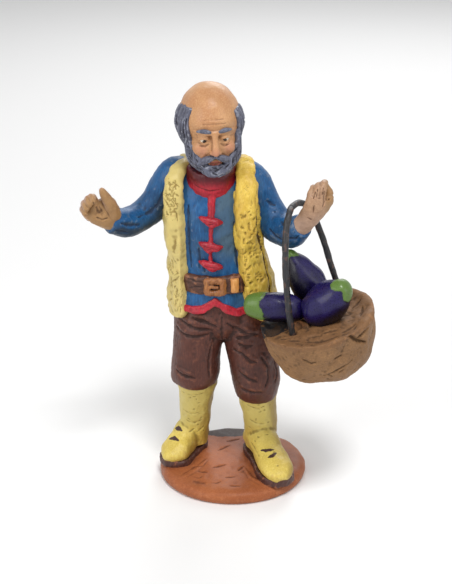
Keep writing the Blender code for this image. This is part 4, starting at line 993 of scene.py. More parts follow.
def vest_point(share_across, share_up, inward):
    """A point of the waistcoat: across from its left front edge, round the back, to its right."""

    def at(values, height):
        return float(np.interp(height, VEST_LEVELS, values))

    def frame_here(height):
        centre_x, centre_y, half_u, half_v = trunk_at(height)
        taper = 1 - 0.10 * max(0.0, (height - 64) / 7)
        return centre_x, centre_y, half_u * taper, half_v * taper + VEST_FRONT_STAND

    def edge_angle(height, edge_x):
        centre_x, _, half_u, _ = frame_here(height)
        stand = at(VEST_STAND_LEFT if edge_x > centre_x else VEST_STAND_RIGHT, height)
        share = (edge_x - centre_x) / (half_u + stand)
        depth = (1 - min(0.98, abs(share)) ** VEST_SQUARENESS) ** (1 / VEST_SQUARENESS)
        return math.atan2(share, depth)

    rough_angle = 0.5 + (2 * math.pi - 1.2) * share_across
    facing = math.cos(rough_angle)
    if facing > 0:
        top = VEST_ARMHOLE + (VEST_FRONT_TOP - VEST_ARMHOLE) * min(1.0, facing * 1.3)
    else:
        top = VEST_ARMHOLE + (VEST_BACK_TOP - VEST_ARMHOLE) * min(1.0, -facing * 1.5)
    from_edge = min(share_across, 1 - share_across) * 48
    bottom = VEST_BOTTOM + 1.3 * max(0.0, 1 - from_edge / 1.8) ** 2
    height = bottom + (top - bottom) * share_up
    start = edge_angle(height, at(VEST_EDGE_LEFT, height))
    end = 2 * math.pi + edge_angle(height, at(VEST_EDGE_RIGHT, height))
    angle = start + (end - start) * share_across
    centre_x, centre_y, half_u, half_v = frame_here(height)
    stand = at(VEST_STAND_LEFT if math.sin(angle) > 0 else VEST_STAND_RIGHT, height)
    round_off = abs(math.sin(angle)) ** VEST_SQUARENESS + abs(math.cos(angle)) ** VEST_SQUARENESS
    square = round_off ** (-1 / VEST_SQUARENESS)
    return (
        centre_x + (half_u + stand - inward) * square * math.sin(angle),
        centre_y - (half_v - inward) * square * math.cos(angle),
        height,
    )


def scattered(clay, chance, count, x_range, z_range, length, lean, side=-1):
    """Short strokes at random places on the front, of about a length and a lean."""
    lines = []
    for _ in range(count):
        x, z = chance.uniform(*x_range), chance.uniform(*z_range)
        angle = chance.normal(lean, 0.35)
        run = chance.uniform(0.4, 1.0) * length / 2
        step = (math.cos(angle) * run, math.sin(angle) * run)
        bend = chance.uniform(-0.15, 0.15) * length
        path = ((x - step[0], z - step[1]), (x + bend, z), (x + step[0], z + step[1]))
        lines.append(clay.on_front(path, side))
    return lines


def build_vest():
    sheet = wrap(
        lambda i, j: vest_point(i, j, 0.0), lambda i, j: vest_point(i, j, VEST_THICKNESS), 120, 40
    )
    forms = [sheet] + [rod(strap, 28, lean=(1, 0, 0)) for strap in STRAPS]
    clay = fused(forms, 0.23, settle=6)
    clay.lumps(3.6, 0.22, 81)
    clay.lumps(1.5, 0.07, 82)
    chance = np.random.default_rng(83)
    seam_shadow = clay.on_front(VEST_SEAM)
    clay.carve([seam_shadow], 0.8, 0.7, taper=0.3)
    for reach, depth, taper, patches, paths in VEST_STROKES:
        lines = []
        for patch in patches:
            lines += scattered(clay, chance, *patch)
        clay.carve(lines + clay.all_on_front(paths), reach, depth, taper)
    x = clay.points[:, 0]
    # Painted light: the right side, towards -X, paler and cooler.
    clay.mark("painted_cool_light", eased(-x, 2.0, 9.0))
    # Painted shadow: a dark line along the seam's groove, up to about 64 mm.
    below = eased(64.0 - clay.points[:, 2], 0, 1.5)
    clay.mark("seam_shadow", (1 - gap_to_line(clay.points, seam_shadow, 0.42, 0.4)) * 0.4 - 0.5 * (1 - below))
    clay.finish("waistcoat", fleece_paint)


skin_paint = painted(
    "skin", (196, 148, 104), (166, 112, 74), (214, 172, 128), (196, 140, 104), rough=0.36, wear=0.2,
    wash_and_shade=0.75, streak=(1, 1, 1), patch=4,
    washes_and_shades=(("rosy", (196, 132, 108)), ("tan", (170, 126, 82))), areas=(("lips", (150, 78, 66)),),
    relief=0.03,
)
hand_paint = painted(
    "hand_skin", (168, 130, 92), (128, 88, 56), (204, 168, 134), (196, 140, 104), rough=0.4,
    wear=0.35, wash_and_shade=0.9, streak=(1, 1, 1), patch=2.6,
    washes_and_shades=(("rosy", (184, 154, 138)), ("tan", (150, 114, 70))), relief=0.04,
)
hair_paint = painted(
    "hair_blue_grey", (98, 101, 118), (52, 51, 64), (142, 145, 158), (172, 174, 184), rough=0.42,
    wear=0.5, wash_and_shade=1, patch=3,
)
eye_paint = painted(
    "eye_white", (226, 216, 198), (196, 180, 160), (238, 232, 220), (226, 216, 198), rough=0.22,
    wear=0, wash_and_shade=0.3, relief=0.01, areas=(("iris", (74, 54, 38)), ("pupil", (16, 13, 12))),
)


# Head, in a frame at its centre: its left is +X and it looks along -Y
HEAD = (
    Matrix.Translation((-4.7, -2.4, 80.1))
    @ Matrix.Rotation(math.radians(9), 4, "Z")
    @ Matrix.Rotation(math.radians(13), 4, "X")
    @ Matrix.Rotation(math.radians(-2), 4, "Y")
)
SKULL = ((0, 0.9, 2.1), (6.2, 7.3, 6.8))
FACE = ((0, -2.2, -2.3), (4.9, 4.8, 6.2))
EYE = (2.1, -5.42, 0.3)
EYE_RADIUS = 0.96
HAIR_FIT = (
    (-6.5, 0.58), (-4.5, 0.74), (-2, 0.9), (0, 0.97), (2, 1), (4, 0.955), (5, 0.9), (6, 0.81),
)


def both_sides(points):
    return [points, [(-x, y, z) for x, y, z in points]]


def head_rods(points, widths, sides=14):
    return [thin_rod(line, widths, sides, HEAD) for line in both_sides(points)]


def in_head(places):
    return [tuple(HEAD @ Vector(place)) for place in places]


# Nose, brow ridge, lids and lips: points, half widths, sides, and whether both sides have one
FACE_RODS = (
    (
        ((0, -6.5, 1.9), (0, -7.15, 0.5), (0, -7.85, -0.9), (0, -8.05, -1.8)),
        (0.6, 0.6, 0.75, 0.72), 16, False,
    ),
    (
        ((-3.8, -4.6, 1.7), (-2, -6.1, 2.1), (0, -6.45, 1.95), (2, -6.1, 2.1), (3.8, -4.6, 1.7)),
        (0.4, 0.6, 0.5, 0.6, 0.4), 16, False,
    ),
    (((1.2, -5.9, 1.25), (2.1, -6.12, 1.5), (3.05, -5.6, 1.15)), (0.42, 0.46, 0.4), 14, True),
    (
        ((1.05, -6.15, 0.35), (1.55, -6.5, 0.85), (2.3, -6.5, 0.98), (3.15, -5.8, 0.5)),
        (0.2, 0.28, 0.28, 0.2), 14, True,
    ),
    (
        ((1.1, -6.15, 0.2), (1.75, -6.4, -0.28), (2.5, -6.3, -0.26), (3.1, -5.8, 0.2)),
        (0.16, 0.2, 0.2, 0.15), 14, True,
    ),
    (((-1.35, -6.55, -4.25), (0, -7, -4.05), (1.35, -6.55, -4.25)), (0.25, 0.42, 0.25), 14, False),
    (((-1.2, -6.5, -4.75), (0, -6.95, -4.95), (1.2, -6.5, -4.75)), (0.3, 0.5, 0.3), 14, False),
)
NECK = ((0, 0.6, -3.0, 3.2, 3.4), (0, 1.4, -6.0, 3.3, 3.4), (0, 2.6, -11.0, 3.6, 3.6))
MOUTH = ((-1.5, -6.9, -4.5), (0, -7.4, -4.5), (1.5, -6.9, -4.5))
FACE_CREASES = (
    ((-2.6, -6.4, 3.9), (0, -7, 4.15), (2.6, -6.4, 3.9)),
    ((-2.2, -6.2, 4.9), (0, -6.8, 5.1), (2.2, -6.2, 4.9)),
    *both_sides([(1.35, -7.2, -2.2), (2, -6.6, -3.2), (2.3, -6.2, -4.2)]),
    *both_sides([(1.2, -6.6, -0.4), (2, -6.6, -1), (3, -6, -0.9)]),
)
ROSY_PLACES = ((-2.9, -6.3, -2.0), (2.9, -6.3, -2.0), (0, -8.5, -1.9))


def build_face():
    forms = [ball(*SKULL, HEAD), ball(*FACE, HEAD), rod(NECK, 32, turn=HEAD)]
    forms += [ball((side * 2.6, -4.8, -2.0), (1.75, 1.6, 1.8), HEAD) for side in (-1, 1)]
    forms.append(ball((0, -2.6, 2.9), (4.8, 3.9, 3.6), HEAD))
    forms += [ball((side * 0.72, -7.3, -1.95), (0.55, 0.75, 0.5), HEAD) for side in (-1, 1)]
    for points, widths, sides, doubled in FACE_RODS:
        lines = both_sides(points) if doubled else [points]
        forms += [thin_rod(line, widths, sides, HEAD) for line in lines]
    clay = fused(forms, 0.135, settle=5)
    mouth = clay.on_skin(in_head(MOUTH))
    clay.carve([mouth], 0.32, 0.22, taper=0.4)
    clay.carve(clay.all_on_skin(in_head(line) for line in FACE_CREASES), 0.5, 0.13)
    nostrils = both_sides([(-0.5, -7.6, -2.5), (-0.55, -7.4, -2.5)])
    clay.carve(clay.all_on_skin(in_head(line) for line in nostrils), 0.28, 0.2, taper=0.0)
    clay.lumps(2.6, 0.05, 91)
    rosy = np.zeros(len(clay.points))
    for place in clay.on_skin(in_head(ROSY_PLACES)):
        rosy = np.maximum(rosy, 1 - eased(np.linalg.norm(clay.points - place, axis=1), 0.4, 2.2))
    clay.mark("rosy", rosy * 0.55)
    clay.mark("tan", 0.25 * eased(waves(clay.points, 4.0, 92), 0.0, 0.8))
    clay.mark("lips", (1 - gap_to_line(clay.points, mouth, 0.75, taper=0.75)) * 0.6)
    clay.finish("head_skin", skin_paint)

    for name, side in (("right_eye", -1), ("left_eye", 1)):
        centre = (side * EYE[0], EYE[1], EYE[2])
        eye = fused([ball(centre, (EYE_RADIUS,) * 3, HEAD)], 0.1, settle=1)
        gaze = Vector((centre[0] - side * 0.05, centre[1] - EYE_RADIUS, centre[2] - 0.08))
        away = np.linalg.norm(eye.points - np.array(HEAD @ gaze), axis=1)
        eye.mark("iris", 0.46 - away)
        eye.mark("pupil", 0.22 - away)
        eye.finish(name, eye_paint)


def hair_place(angle, z, stand=0.0):
    fit = float(np.interp(z, *zip(*HAIR_FIT)))
    return (
        (6.15 + stand) * fit * math.cos(angle), 0.9 + (7.3 + stand) * fit * math.sin(angle), z
    )


def build_hair():
    chance = np.random.default_rng(101)
    locks, lines = [], []
    count = 40
    for i in range(count):
        turned = -35 + 250 * i / (count - 1)
        from_side = turned if turned < 90 else 180 - turned
        angle = math.radians(turned) + chance.normal(0, 0.015)
        top = float(np.interp(from_side, (-35, -15, 0, 25, 90), (5.6, 5.3, 4.7, 3.2, 2.8)))
        bottom = float(np.interp(from_side, (-40, -20, 0, 40, 90), (-1.4, -3.2, -3.8, -5.2, -5.8)))
        top -= float(np.interp(turned, (-35, 60, 90), (0.9, 0.4, 0.0)))
        top += chance.uniform(-0.08, 0.08)
        bottom += chance.uniform(-0.3, 0.3)
        swing = chance.normal(0, 0.04)
        levels = np.linspace(top, bottom, 6)
        points = [
            hair_place(angle + swing * k, z, (-0.05, 0.25, 0.40, 0.35, 0.15, -0.05)[k])
            for k, z in enumerate(levels)
        ]
        full = chance.uniform(0.85, 1.1)
        widths = [w * full for w in (0.46, 0.62, 0.72, 0.72, 0.62, 0.42)]
        locks.append(thin_rod(points, widths, 10, HEAD))
        lines.append(in_head([hair_place(angle + 0.055, z, 1.0) for z in levels[1:]]))
    mass = []
    for i in range(19):
        turned = -32 + 244 * i / 18
        from_side = turned if turned < 90 else 180 - turned
        top = float(np.interp(from_side, (-36, 0, 25, 90), (4.2, 3.4, 2.2, 2.0)))
        points = [hair_place(math.radians(turned), z, 0.0) for z in (top, 0.8, -1.6, -3.4)]
        mass.append(thin_rod(points, (0.5, 0.9, 0.9, 0.6), 12, HEAD))
    clay = fused(locks + mass, 0.15, settle=1)
    clay.carve(clay.all_on_skin(lines), 0.36, 0.42, taper=0.4)
    clay.finish("hair", hair_paint)


MOUSTACHE = (
    ((0.4, -7.3, -3), (1.4, -7.2, -3.4), (2.5, -6.45, -4.2), (3.2, -5.7, -5.2)),
    (0.5, 0.74, 0.72, 0.5),
)
MOUSTACHE_STRAND = ((0.4, -8.0, -2.95), (1.5, -8.0, -3.4), (2.7, -7.2, -4.3), (3.4, -6.4, -5.3))
BROWS = (((0.95, -6.7, 2.3), (2.1, -6.6, 2.6), (3.4, -5.6, 2.15)), (0.34, 0.50, 0.26))
JAW = (
    (-5, -1.4, 1, 0.9, 0.8), (-4.45, -2.3, -2.4, 1.2, 1.1), (-3.5, -3.9, -5.2, 1.5, 1.5),
    (0.2, -5.2, -6.5, 1.6, 1.9), (4, -3.9, -5.2, 1.5, 1.5), (4.9, -2.3, -2.4, 1.2, 1.1),
    (5.1, -1.4, 1, 0.9, 0.8),
)


def build_beard():
    chance = np.random.default_rng(111)
    forms = [rod(JAW, 28, lean=(0, -1, 0), turn=HEAD)]
    lines = []
    for i in range(27):
        turned = -84 + 168 * i / 26 + chance.normal(0, 1.5)
        angle = math.radians(turned)
        away = abs(turned)
        top = float(np.interp(away, (0, 16, 30, 50, 70, 84), (-5.6, -5.4, -4.5, -2.9, -0.6, 1.4)))
        low = float(np.interp(away, (0, 20, 40, 60, 84), (-7.8, -7.7, -7.0, -5.2, -2.4)))
        points = []
        for k, share in enumerate((0.0, 0.35, 0.7, 1.0)):
            z = top + (low - top) * share
            wide = (5.2, 5.15, 4.7, 3.8)[k]
            deep = (4.7, 5.1, 4.9, 4.0)[k]
            sway = chance.normal(0, 0.12)
            points.append((wide * math.sin(angle) + sway + 0.2, -2.0 - deep * math.cos(angle), z))
        full = chance.uniform(0.85, 1.1)
        forms.append(thin_rod(points, [w * full for w in (0.5, 0.78, 0.78, 0.55)], 10, HEAD))
        if away > 32:
            lines.append(in_head([(x * 1.12 + 0.25, y - 0.6, z) for x, y, z in points]))
    for k, z in enumerate((-5.35, -6.2)):
        for x in (-2.5, -1.5, -0.5, 0.5, 1.5, 2.5):
            x += 0.5 * k
            y = -7.35 + 0.16 * x * x + 0.35 * k
            roll = [(x - 0.55, y + 0.05, z + 0.25), (x, y - 0.2, z), (x + 0.4, y, z - 0.45)]
            forms.append(thin_rod(roll, (0.35, 0.5, 0.35), 10, HEAD))
    clay = fused(forms, 0.14, settle=2)
    clay.carve(clay.all_on_skin(lines), 0.40, 0.24)
    curls = []
    for _ in range(34):
        angle = chance.uniform(-1.3, 1.3)
        z = chance.uniform(-7.4, -4.0) + 3.2 * (abs(angle) / 1.3) ** 2
        x, y = 5.6 * math.sin(angle), -2.0 - 5.8 * math.cos(angle)
        lean = math.copysign(0.5, -angle)
        curls.append(in_head([(x - lean, y, z + 0.4), (x, y - 0.1, z), (x + lean, y, z - 0.35)]))
    clay.carve(clay.all_on_skin(curls), 0.36, 0.34, taper=0.5)
    clay.finish("beard", hair_paint)

    strands = []
    for rise in (-0.3, 0.0, 0.3):
        strands += both_sides([(x, y, z + rise) for x, y, z in MOUSTACHE_STRAND])
    comb_hair("moustache", MOUSTACHE, 0.12, strands, 0.17, 0.12)
    strands = []
    for step in (1.2, 1.6, 2.0, 2.4, 2.8, 3.2):
        strands += both_sides([(step, -7.4, 2.1), (step + 0.35, -7.3, 3.0)])
    comb_hair("brows", BROWS, 0.11, strands, 0.14, 0.08)


def comb_hair(name, shape, grain, strands, reach, depth):
    """A tuft on each side of the face, from points and half widths, combed along the strands."""
    clay = fused(head_rods(*shape), grain, settle=2)
    clay.carve(clay.all_on_skin(in_head(line) for line in strands), reach, depth)
    clay.finish(name, hair_paint)


# Hands: palms, fingers and thumbs as rods of clay, pinched together
# A thumb and its half widths, fingers and theirs, palm and its lean, creases and their cut
RIGHT_HAND = (
    ((-24.2, -7.8, 63.2), (-24.6, -8.8, 65.2), (-25.6, -9.5, 67.4), (-26.4, -9.9, 69)),
    (1.5, 1.35, 1.05, 0.65),
    (
        ((-27.5, -8.4, 64.6), (-28.1, -9, 66.6), (-28.4, -10.2, 67.7), (-28, -11.1, 67)),
        ((-28.5, -8.3, 64.1), (-29.1, -9, 66.2), (-29.2, -10.3, 67.2), (-28.8, -11.1, 66.4)),
        ((-29.2, -8.2, 63.5), (-29.8, -9, 65.4), (-29.9, -10.2, 66.3), (-29.5, -11, 65.5)),
        ((-29.2, -8.1, 62.7), (-30, -8.9, 64.3), (-30.2, -10, 65), (-29.8, -10.7, 64.4)),
    ),
    (0.9, 0.86, 0.78, 0.66),
    (
        (-24.4, -6.1, 61.3, 2.1, 2.1), (-25.5, -7.3, 62.4, 2.5, 2), (-26.6, -8.2, 63.7, 3, 1.6),
        (-27.4, -8.5, 64.9, 3.2, 1.25), (-28, -8.7, 66, 2.4, 0.9),
    ),
    (0.2, -1, 0.1),
    (
        ((-27.8, 66.8), (-27.3, 65.6), (-27, 64.6)), ((-26.9, 66), (-26.4, 64.8)),
        ((-27.4, 62.9), (-26.2, 62.5), (-25, 62.8)),
    ),
    (0.45, 0.26),
)
RIGHT_PALM_DENT = ((-27.0, 64.4), (-26.4, 64.1))
LEFT_HAND = (
    ((17.8, -10, 64.8), (18.9, -9.9, 66.4), (19.2, -9.8, 68.2), (18.8, -9.6, 69.6)),
    (1.05, 1.05, 0.95, 0.6),
    (
        ((15.2, -10.7, 66.2), (15.5, -11, 68.2), (15.9, -10.1, 69.4), (16.2, -8.9, 69.2)),
        ((16.2, -10.9, 66.8), (16.6, -11.2, 69), (17, -10.2, 70), (17.2, -9, 69.8)),
        ((17.3, -10.9, 67), (17.8, -11.1, 69.4), (18.1, -10.2, 70.5), (18.3, -9, 70.2)),
    ),
    (0.9, 0.88, 0.8, 0.66),
    (
        (13.6, -8.4, 60.7, 2.2, 2), (14.7, -9.5, 62.4, 2.1, 1.8), (15.9, -10.3, 64.4, 2.5, 1.6),
        (16.8, -10.8, 66.4, 2.75, 1.4), (17.3, -11, 67.8, 2.5, 1.1),
    ),
    (-0.2, 1, 0.3),
    (
        ((15.9, 69.6), (15.7, 68.4)), ((16.9, 70.2), (16.7, 68.6)), ((17.9, 70.6), (17.7, 68.8)),
        ((18.5, 69.4), (18.5, 67.4), (18.2, 66)), ((14.6, 63.6), (15.8, 63)),
        ((18.9, 67.9), (19.2, 67.7)), ((16.4, 66.4), (16, 64.6)),
    ),
    (0.36, 0.24),
)


def press_hand(thumb, thumb_widths, fingers, finger_widths, palm, lean, creases, cut):
    forms = [rod(palm, 28, lean=lean)]
    forms += [thin_rod(finger, finger_widths, 14) for finger in fingers]
    forms.append(thin_rod(thumb, thumb_widths, 16))
    clay = fused(forms, 0.12, settle=4)
    return clay.carve(clay.all_on_front(creases), *cut)


def build_hands():
    clay = press_hand(*RIGHT_HAND)
    clay.carve([clay.on_front(RIGHT_PALM_DENT)], 1.5, 0.3, taper=0.2)
    clay.lumps(1.6, 0.07, 121)
    # The right hand greyer pink on its side facing -X and tanner on its front.
    outward = clay.normals()
    clay.mark("rosy", eased(-outward[:, 0], 0.25, 0.75) * 0.8)
    clay.mark("tan", eased(-outward[:, 1], 0.3, 0.8) * 0.7)
    clay.finish("right_hand", hand_paint)

    clay = press_hand(*LEFT_HAND)
    clay.lumps(1.6, 0.07, 122)
    # The left hand greyer pink lower down and tanner on its +X side.
    clay.mark("rosy", 0.35 * eased(-clay.points[:, 2], -66.0, -62.0) + 0.25)
    clay.mark("tan", 0.7 * eased(clay.points[:, 0], 18.0, 19.0))
    clay.finish("left_hand", hand_paint)


# Basket, aubergines and wire, in a frame at the centre of the basket's rim
BASKET = (
    Matrix.Translation((17.1, -13.0, 43.1))
    @ Matrix.Rotation(math.radians(-13), 4, "Y")
    @ Matrix.Rotation(math.radians(6), 4, "X")
)
BASKET_ROWS = (
    (-12.7, 4.4), (-12.5, 5.9), (-11.9, 7.5), (-10.5, 8.8), (-8.4, 10), (-5.4, 10.95),
    (-2.6, 11.55), (-0.5, 11.9), (-0.05, 11.6), (-0.1, 10.8), (-0.5, 9.8), (-0.8, 7.5), (-0.8, 2),
)
BASKET_HOLLOW = ((-9.8, -2.0), (-8.6, 0.4))
BASKET_MOUND = ((-5.6, 1.6), (-3.6, -0.4), (-2.2, -2.4))
BASKET_GROOVE = ((-4.6, -1.0), (-3.9, -2.3))
BASKET_SCRAPES = (
    ((-3, -8.6), (0.6, -9.4), (3.4, -8.4)), ((-6.6, -6.6), (-4.2, -7.6)), ((4.6, -7.4), (7, -5.8)),
    ((8.6, -3.2), (9.4, 0.4)), ((7.4, 1.4), (9.2, 3.4)), ((-8.4, -5), (-6.2, -5.6)),
    ((0.4, -6.8), (3.6, -6.4)), ((-1.6, -7.4), (0.4, -7.6)),
)
BASKET_CRACKS = (
    ((23.4, 43), (24.4, 41.8), (25.3, 40.9), (26.9, 40)), ((25, 41.3), (26.2, 42.2), (27.4, 43.2)),
)
BASKET_LINES = (
    ((18.2, 33.4), (20.2, 34.2), (22, 35.2), (24.2, 36.6)), ((19.2, 33.4), (19.9, 32.8)),
    ((9.2, 40.4), (9.9, 40.2)), ((13.6, 37.6), (15.2, 36.8), (16.4, 37)),
    ((20.4, 37.8), (21.8, 38.4)), ((21.4, 34), (22.6, 34.8)),
)
HANDLE_FEET = ((-5.5, -3.6), (5.6, 8.2))
HANDLE_BENDS = (
    (10.9, -16.9, 48.1), (10.4, -16.9, 54.6), (10.3, -16.3, 59.7), (10.5, -15.2, 62.9),
    (11, -13.8, 65.2), (11.6, -11.1, 65.7), (12.9, -8.4, 65.8), (14.5, -6.7, 65.1),
    (16, -6.2, 63.5), (17.8, -5.5, 58.9), (19, -5.3, 55.6), (20.4, -5.1, 51),
)
WIRE_RADIUS = 0.66
AUBERGINE_SHAPE = (
    (-1, 0.1), (-0.97, 0.38), (-0.84, 0.66), (-0.58, 0.91), (-0.26, 1), (0.05, 0.98), (0.36, 0.86),
    (0.62, 0.7), (0.82, 0.5), (0.94, 0.34), (1, 0.12),
)
# Centre, stalk's direction, radius, half length, cap's reach, zigzag and turn, taper to the stalk
AUBERGINES = {
    "aubergine_front": ((-7.9, 1.8, 3), (-0.95, 0.16, 0.26), 3.1, 6.2, 4.6, 0.6, 0.4, 0.55),
    "aubergine_middle": ((2.9, -1.4, 3.4), (0.72, -0.31, 0.61), 4.25, 6.2, 2.9, 0.7, 0, 1),
    "aubergine_back": ((-0.8, 7.4, 4.9), (-0.31, 0.03, 0.95), 3.8, 7.5, 1.9, 0.4, 0.8, 1.5),
}
# The side of each aubergine that is painted near black as painted shade.
AUBERGINE_SHADED_SIDES = {
    "aubergine_front": (-0.2, 0, -0.98), "aubergine_middle": (0.3, 0, -0.95),
    "aubergine_back": (-0.9, -0.3, -0.3),
}


# Basket tan; the near-black patch on the filling under the front aubergine is painted shadow.
basket_paint = painted(
    "basket_tan", (136, 100, 64), (104, 73, 45), (165, 129, 88), (160, 114, 72), rough=0.62,
    wear=0.4, wash_and_shade=0.85, streak=(1, 1, 1), patch=5, relief=0.09, pits=0.45,
    washes_and_shades=(("warm", (164, 102, 56)), ("inside", (110, 74, 46))),
    areas=(("painted_shadow_patch", (26, 22, 24)),),
)
# Aubergine violet; its near-black soft coat is painted shade.
aubergine_paint = painted(
    "aubergine_violet", (23, 13, 74), (11, 6, 34), (38, 26, 102), (86, 70, 104), rough=0.3,
    wear=0.3, wash_and_shade=0.6, streak=(1, 1, 1), patch=4, relief=0.025, washes_and_shades=(("under", (8, 6, 12)),),
    areas=(("calyx", (86, 114, 48)),),
)
wire_paint = painted(
    "wire_black", (44, 44, 47), (24, 24, 26), (84, 84, 86), (96, 70, 60), rough=0.42, wear=0.6,
    wash_and_shade=0.3, streak=(1, 1, 0.12), patch=2, relief=0.06,
)


def in_frame(points, place):
    """The points as seen from a frame."""
    back = place.inverted()
    return points @ np.array(back.to_3x3()).T + np.array(back.translation)


def build_basket():
    rows = upright(round_rows(BASKET_ROWS))
    clay = fused([rod(rows, 72, level=True, steps=4, turn=BASKET)], 0.25, settle=2)
    clay.lumps(7.5, 0.32, 131)
    clay.lumps(2.2, 0.09, 132)

    def on_filling(*paths):
        return clay.all_on_skin(
            [tuple(BASKET @ Vector((x, y, 0.0))) for x, y in path] for path in paths
        )

    clay.carve(on_filling(BASKET_HOLLOW), 2.6, 0.8, taper=0.2)
    clay.raise_up(on_filling(BASKET_MOUND), 1.3, 1.0, taper=0.6)
    clay.carve(on_filling(BASKET_GROOVE), 0.9, 0.5, taper=0.3)
    holes = on_filling(*((foot, (foot[0] + 0.1, foot[1])) for foot in HANDLE_FEET))
    clay.carve(holes, 1.25, 0.7, taper=0.0)
    clay.carve(on_filling(*BASKET_SCRAPES), 0.7, 0.22)
    cracks, lines = clay.all_on_front(BASKET_CRACKS), clay.all_on_front(BASKET_LINES)
    clay.carve(cracks, 0.62, 0.95, taper=0.5)
    clay.carve(lines, 0.42, 0.36)
    clay.lumps(0.9, 0.035, 133)
    x, y, z = in_frame(clay.points, BASKET).T
    above = eased(z, -1.6, -0.9)
    # Painted shadow: a near-black patch on the filling under the front aubergine.
    clay.mark("painted_shadow_patch", np.where(z > -2.0, 2.6 - np.hypot((x + 9.0) * 0.72, y - 0.1), -1.0))
    clay.mark("warm", 0.7 * above * eased(-np.hypot(x + 3.4, y + 0.2), -3.4, -1.2))
    clay.mark("inside", 0.45 * above)
    clay.finish("clay_basket", basket_paint, "basket_clay", ["basket"])


def build_aubergines():
    for seed, (name, shape) in enumerate(AUBERGINES.items()):
        centre, stalk, radius, half, cap, zigzag, spin, point = shape
        aim = Vector(stalk).to_track_quat("Z", "Y").to_matrix().to_4x4()
        place = BASKET @ Matrix.Translation(centre) @ aim
        rows = [
            (half * z, radius * share ** (point if z > 0 else 1.0))
            for z, share in AUBERGINE_SHAPE
        ]
        skin = rod(upright(round_rows(rows)), 40, level=True, steps=4, turn=place)
        clay = fused([skin], 0.17, settle=3)
        clay.lumps(4.0, 0.14, 141 + seed)
        local = in_frame(clay.points, place)
        round_stalk = np.arctan2(local[:, 1], local[:, 0])
        from_tip = np.linalg.norm(local - (0, 0, half), axis=1)
        petals = cap + zigzag * np.cos(3 * (round_stalk + spin)) + 0.2 * waves(local, 1.5, 144)
        clay.mark("calyx", petals - from_tip)
        # Painted shade: each fruit turned near black on the side its entry above points to.
        shaded_side = clay.normals() @ np.array(AUBERGINE_SHADED_SIDES[name])
        clay.mark("under", 0.92 * eased(shaded_side, 0.05, 0.6))
        clay.push(0.20 * eased(petals - from_tip, -0.05, 0.25))
        clay.finish(f"{name}_fruit", aubergine_paint, "aubergine_paint", [name])


def build_handle():
    feet = [
        [tuple(BASKET @ Vector((*foot, z))) for z in (-2.6, 0.0)] for foot in HANDLE_FEET
    ]
    route = feet[0] + list(HANDLE_BENDS) + feet[1][::-1]
    rows = round_rows((*point, WIRE_RADIUS) for point in route)
    clay = Clay(rod(rows, 20, lean=(0.3, 1, 0.1), steps=16))
    clay.lumps(2.2, 0.05, 151)
    clay.finish("wire_handle", wire_paint, "black_wire", ["handle"])


build_base()
for boot_side, boot_shape in BOOTS.items():
    shape_boot(boot_side, boot_shape)
for build in (
    build_trousers, build_jacket, build_skirt, build_belt, build_trim, build_vest, build_face,
    build_hair, build_beard, build_hands, build_basket, build_aubergines, build_handle,
):
    build()


# Floor, lamps and the photograph's camera
def area_lamp(name, place, aim, size, power):
    lamp = bpy.data.lights.new(name, "AREA")
    lamp.energy = power
    lamp.size = size
    lit = bpy.data.objects.new(name, lamp)
    lit.location = place
    lit.rotation_euler = (Vector(aim) - Vector(place)).to_track_quat("-Z", "Y").to_euler()
    bpy.context.scene.collection.objects.link(lit)


FLOOR_HALF_WIDTH = 2.0
FLOOR_COLOUR = (0.92, 0.92, 0.92, 1.0)
WHITE = (1.0, 1.0, 1.0, 1.0)
WORLD_LIGHT = 0.36
LAMP_AIM = (0.0, 0.0, 0.045)
LAMPS = {
    "lamp_above": ((0.07, -0.27, 0.55), 0.13, 1.8),
    "lamp_front_left": ((-0.36, -0.32, 0.24), 0.3, 1),
    "lamp_front_right": ((0.4, -0.3, 0.26), 0.3, 0.5), "lamp_behind": ((0.1, 0.42, 0.36), 0.3, 1),
}
CAMERA_PLACE = (-0.0015, -0.28296, 0.1574)
CAMERA_AIM = (-0.0015, -0.0048, 0.0450)
CAMERA_LENS = 58.77
CAMERA_SENSOR = 24.0


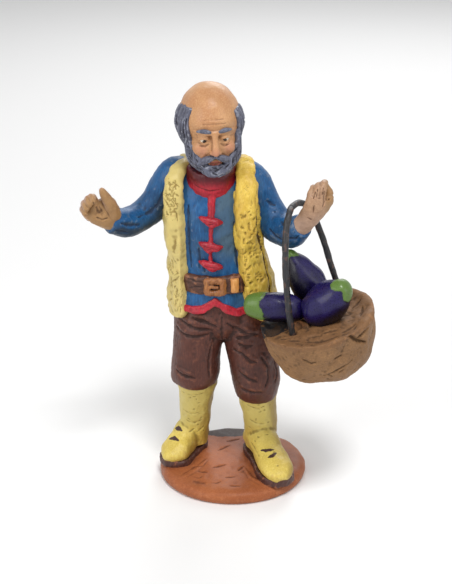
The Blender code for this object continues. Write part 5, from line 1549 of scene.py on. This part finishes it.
def build_floor():
    bm = bmesh.new()
    bmesh.ops.create_grid(bm, x_segments=1, y_segments=1, size=FLOOR_HALF_WIDTH)
    sheet = bpy.data.meshes.new("floor")
    bm.to_mesh(sheet)
    bm.free()
    paper = bpy.data.materials.new("floor_paper")
    paper.use_nodes = True
    shader = paper.node_tree.nodes["Principled BSDF"]
    shader.inputs["Base Color"].default_value = FLOOR_COLOUR
    shader.inputs["Roughness"].default_value = 0.8
    sheet.materials.append(paper)
    floor = bpy.data.objects.new("floor", sheet)
    bpy.context.scene.collection.objects.link(floor)


def build_world():
    """Even light, and plain white wherever the camera, metal or glass sees the world itself."""
    world = bpy.data.worlds.new("studio")
    bpy.context.scene.world = world
    world.use_nodes = True
    tree = world.node_tree
    white = tree.nodes.new("ShaderNodeBackground")
    for background, strength in ((tree.nodes["Background"], WORLD_LIGHT), (white, 1.0)):
        background.inputs["Color"].default_value = WHITE
        background.inputs["Strength"].default_value = strength
    path = tree.nodes.new("ShaderNodeLightPath")
    seen = path.outputs["Is Camera Ray"]
    for ray in ("Is Glossy Ray", "Is Transmission Ray"):
        either = tree.nodes.new("ShaderNodeMath")
        either.operation = "MAXIMUM"
        tree.links.new(seen, either.inputs[0])
        tree.links.new(path.outputs[ray], either.inputs[1])
        seen = either.outputs["Value"]
    mix = tree.nodes.new("ShaderNodeMixShader")
    tree.links.new(seen, mix.inputs[0])
    tree.links.new(tree.nodes["Background"].outputs["Background"], mix.inputs[1])
    tree.links.new(white.outputs["Background"], mix.inputs[2])
    tree.links.new(mix.outputs["Shader"], tree.nodes["World Output"].inputs["Surface"])


def build_camera():
    camera = bpy.data.cameras.new("camera")
    camera.sensor_fit = "VERTICAL"
    camera.sensor_height = CAMERA_SENSOR
    camera.lens = CAMERA_LENS
    camera.clip_start = 0.01
    camera.clip_end = 10.0
    seen_from = bpy.data.objects.new("camera", camera)
    seen_from.location = CAMERA_PLACE
    target = Vector(CAMERA_AIM)
    seen_from.rotation_euler = (target - seen_from.location).to_track_quat("-Z", "Y").to_euler()
    bpy.context.scene.collection.objects.link(seen_from)
    bpy.context.scene.camera = seen_from


build_floor()
build_world()
for lamp_name, (lamp_place, lamp_size, lamp_power) in LAMPS.items():
    area_lamp(lamp_name, lamp_place, LAMP_AIM, lamp_size, lamp_power)
build_camera()
bpy.context.scene.view_settings.view_transform = "Standard"
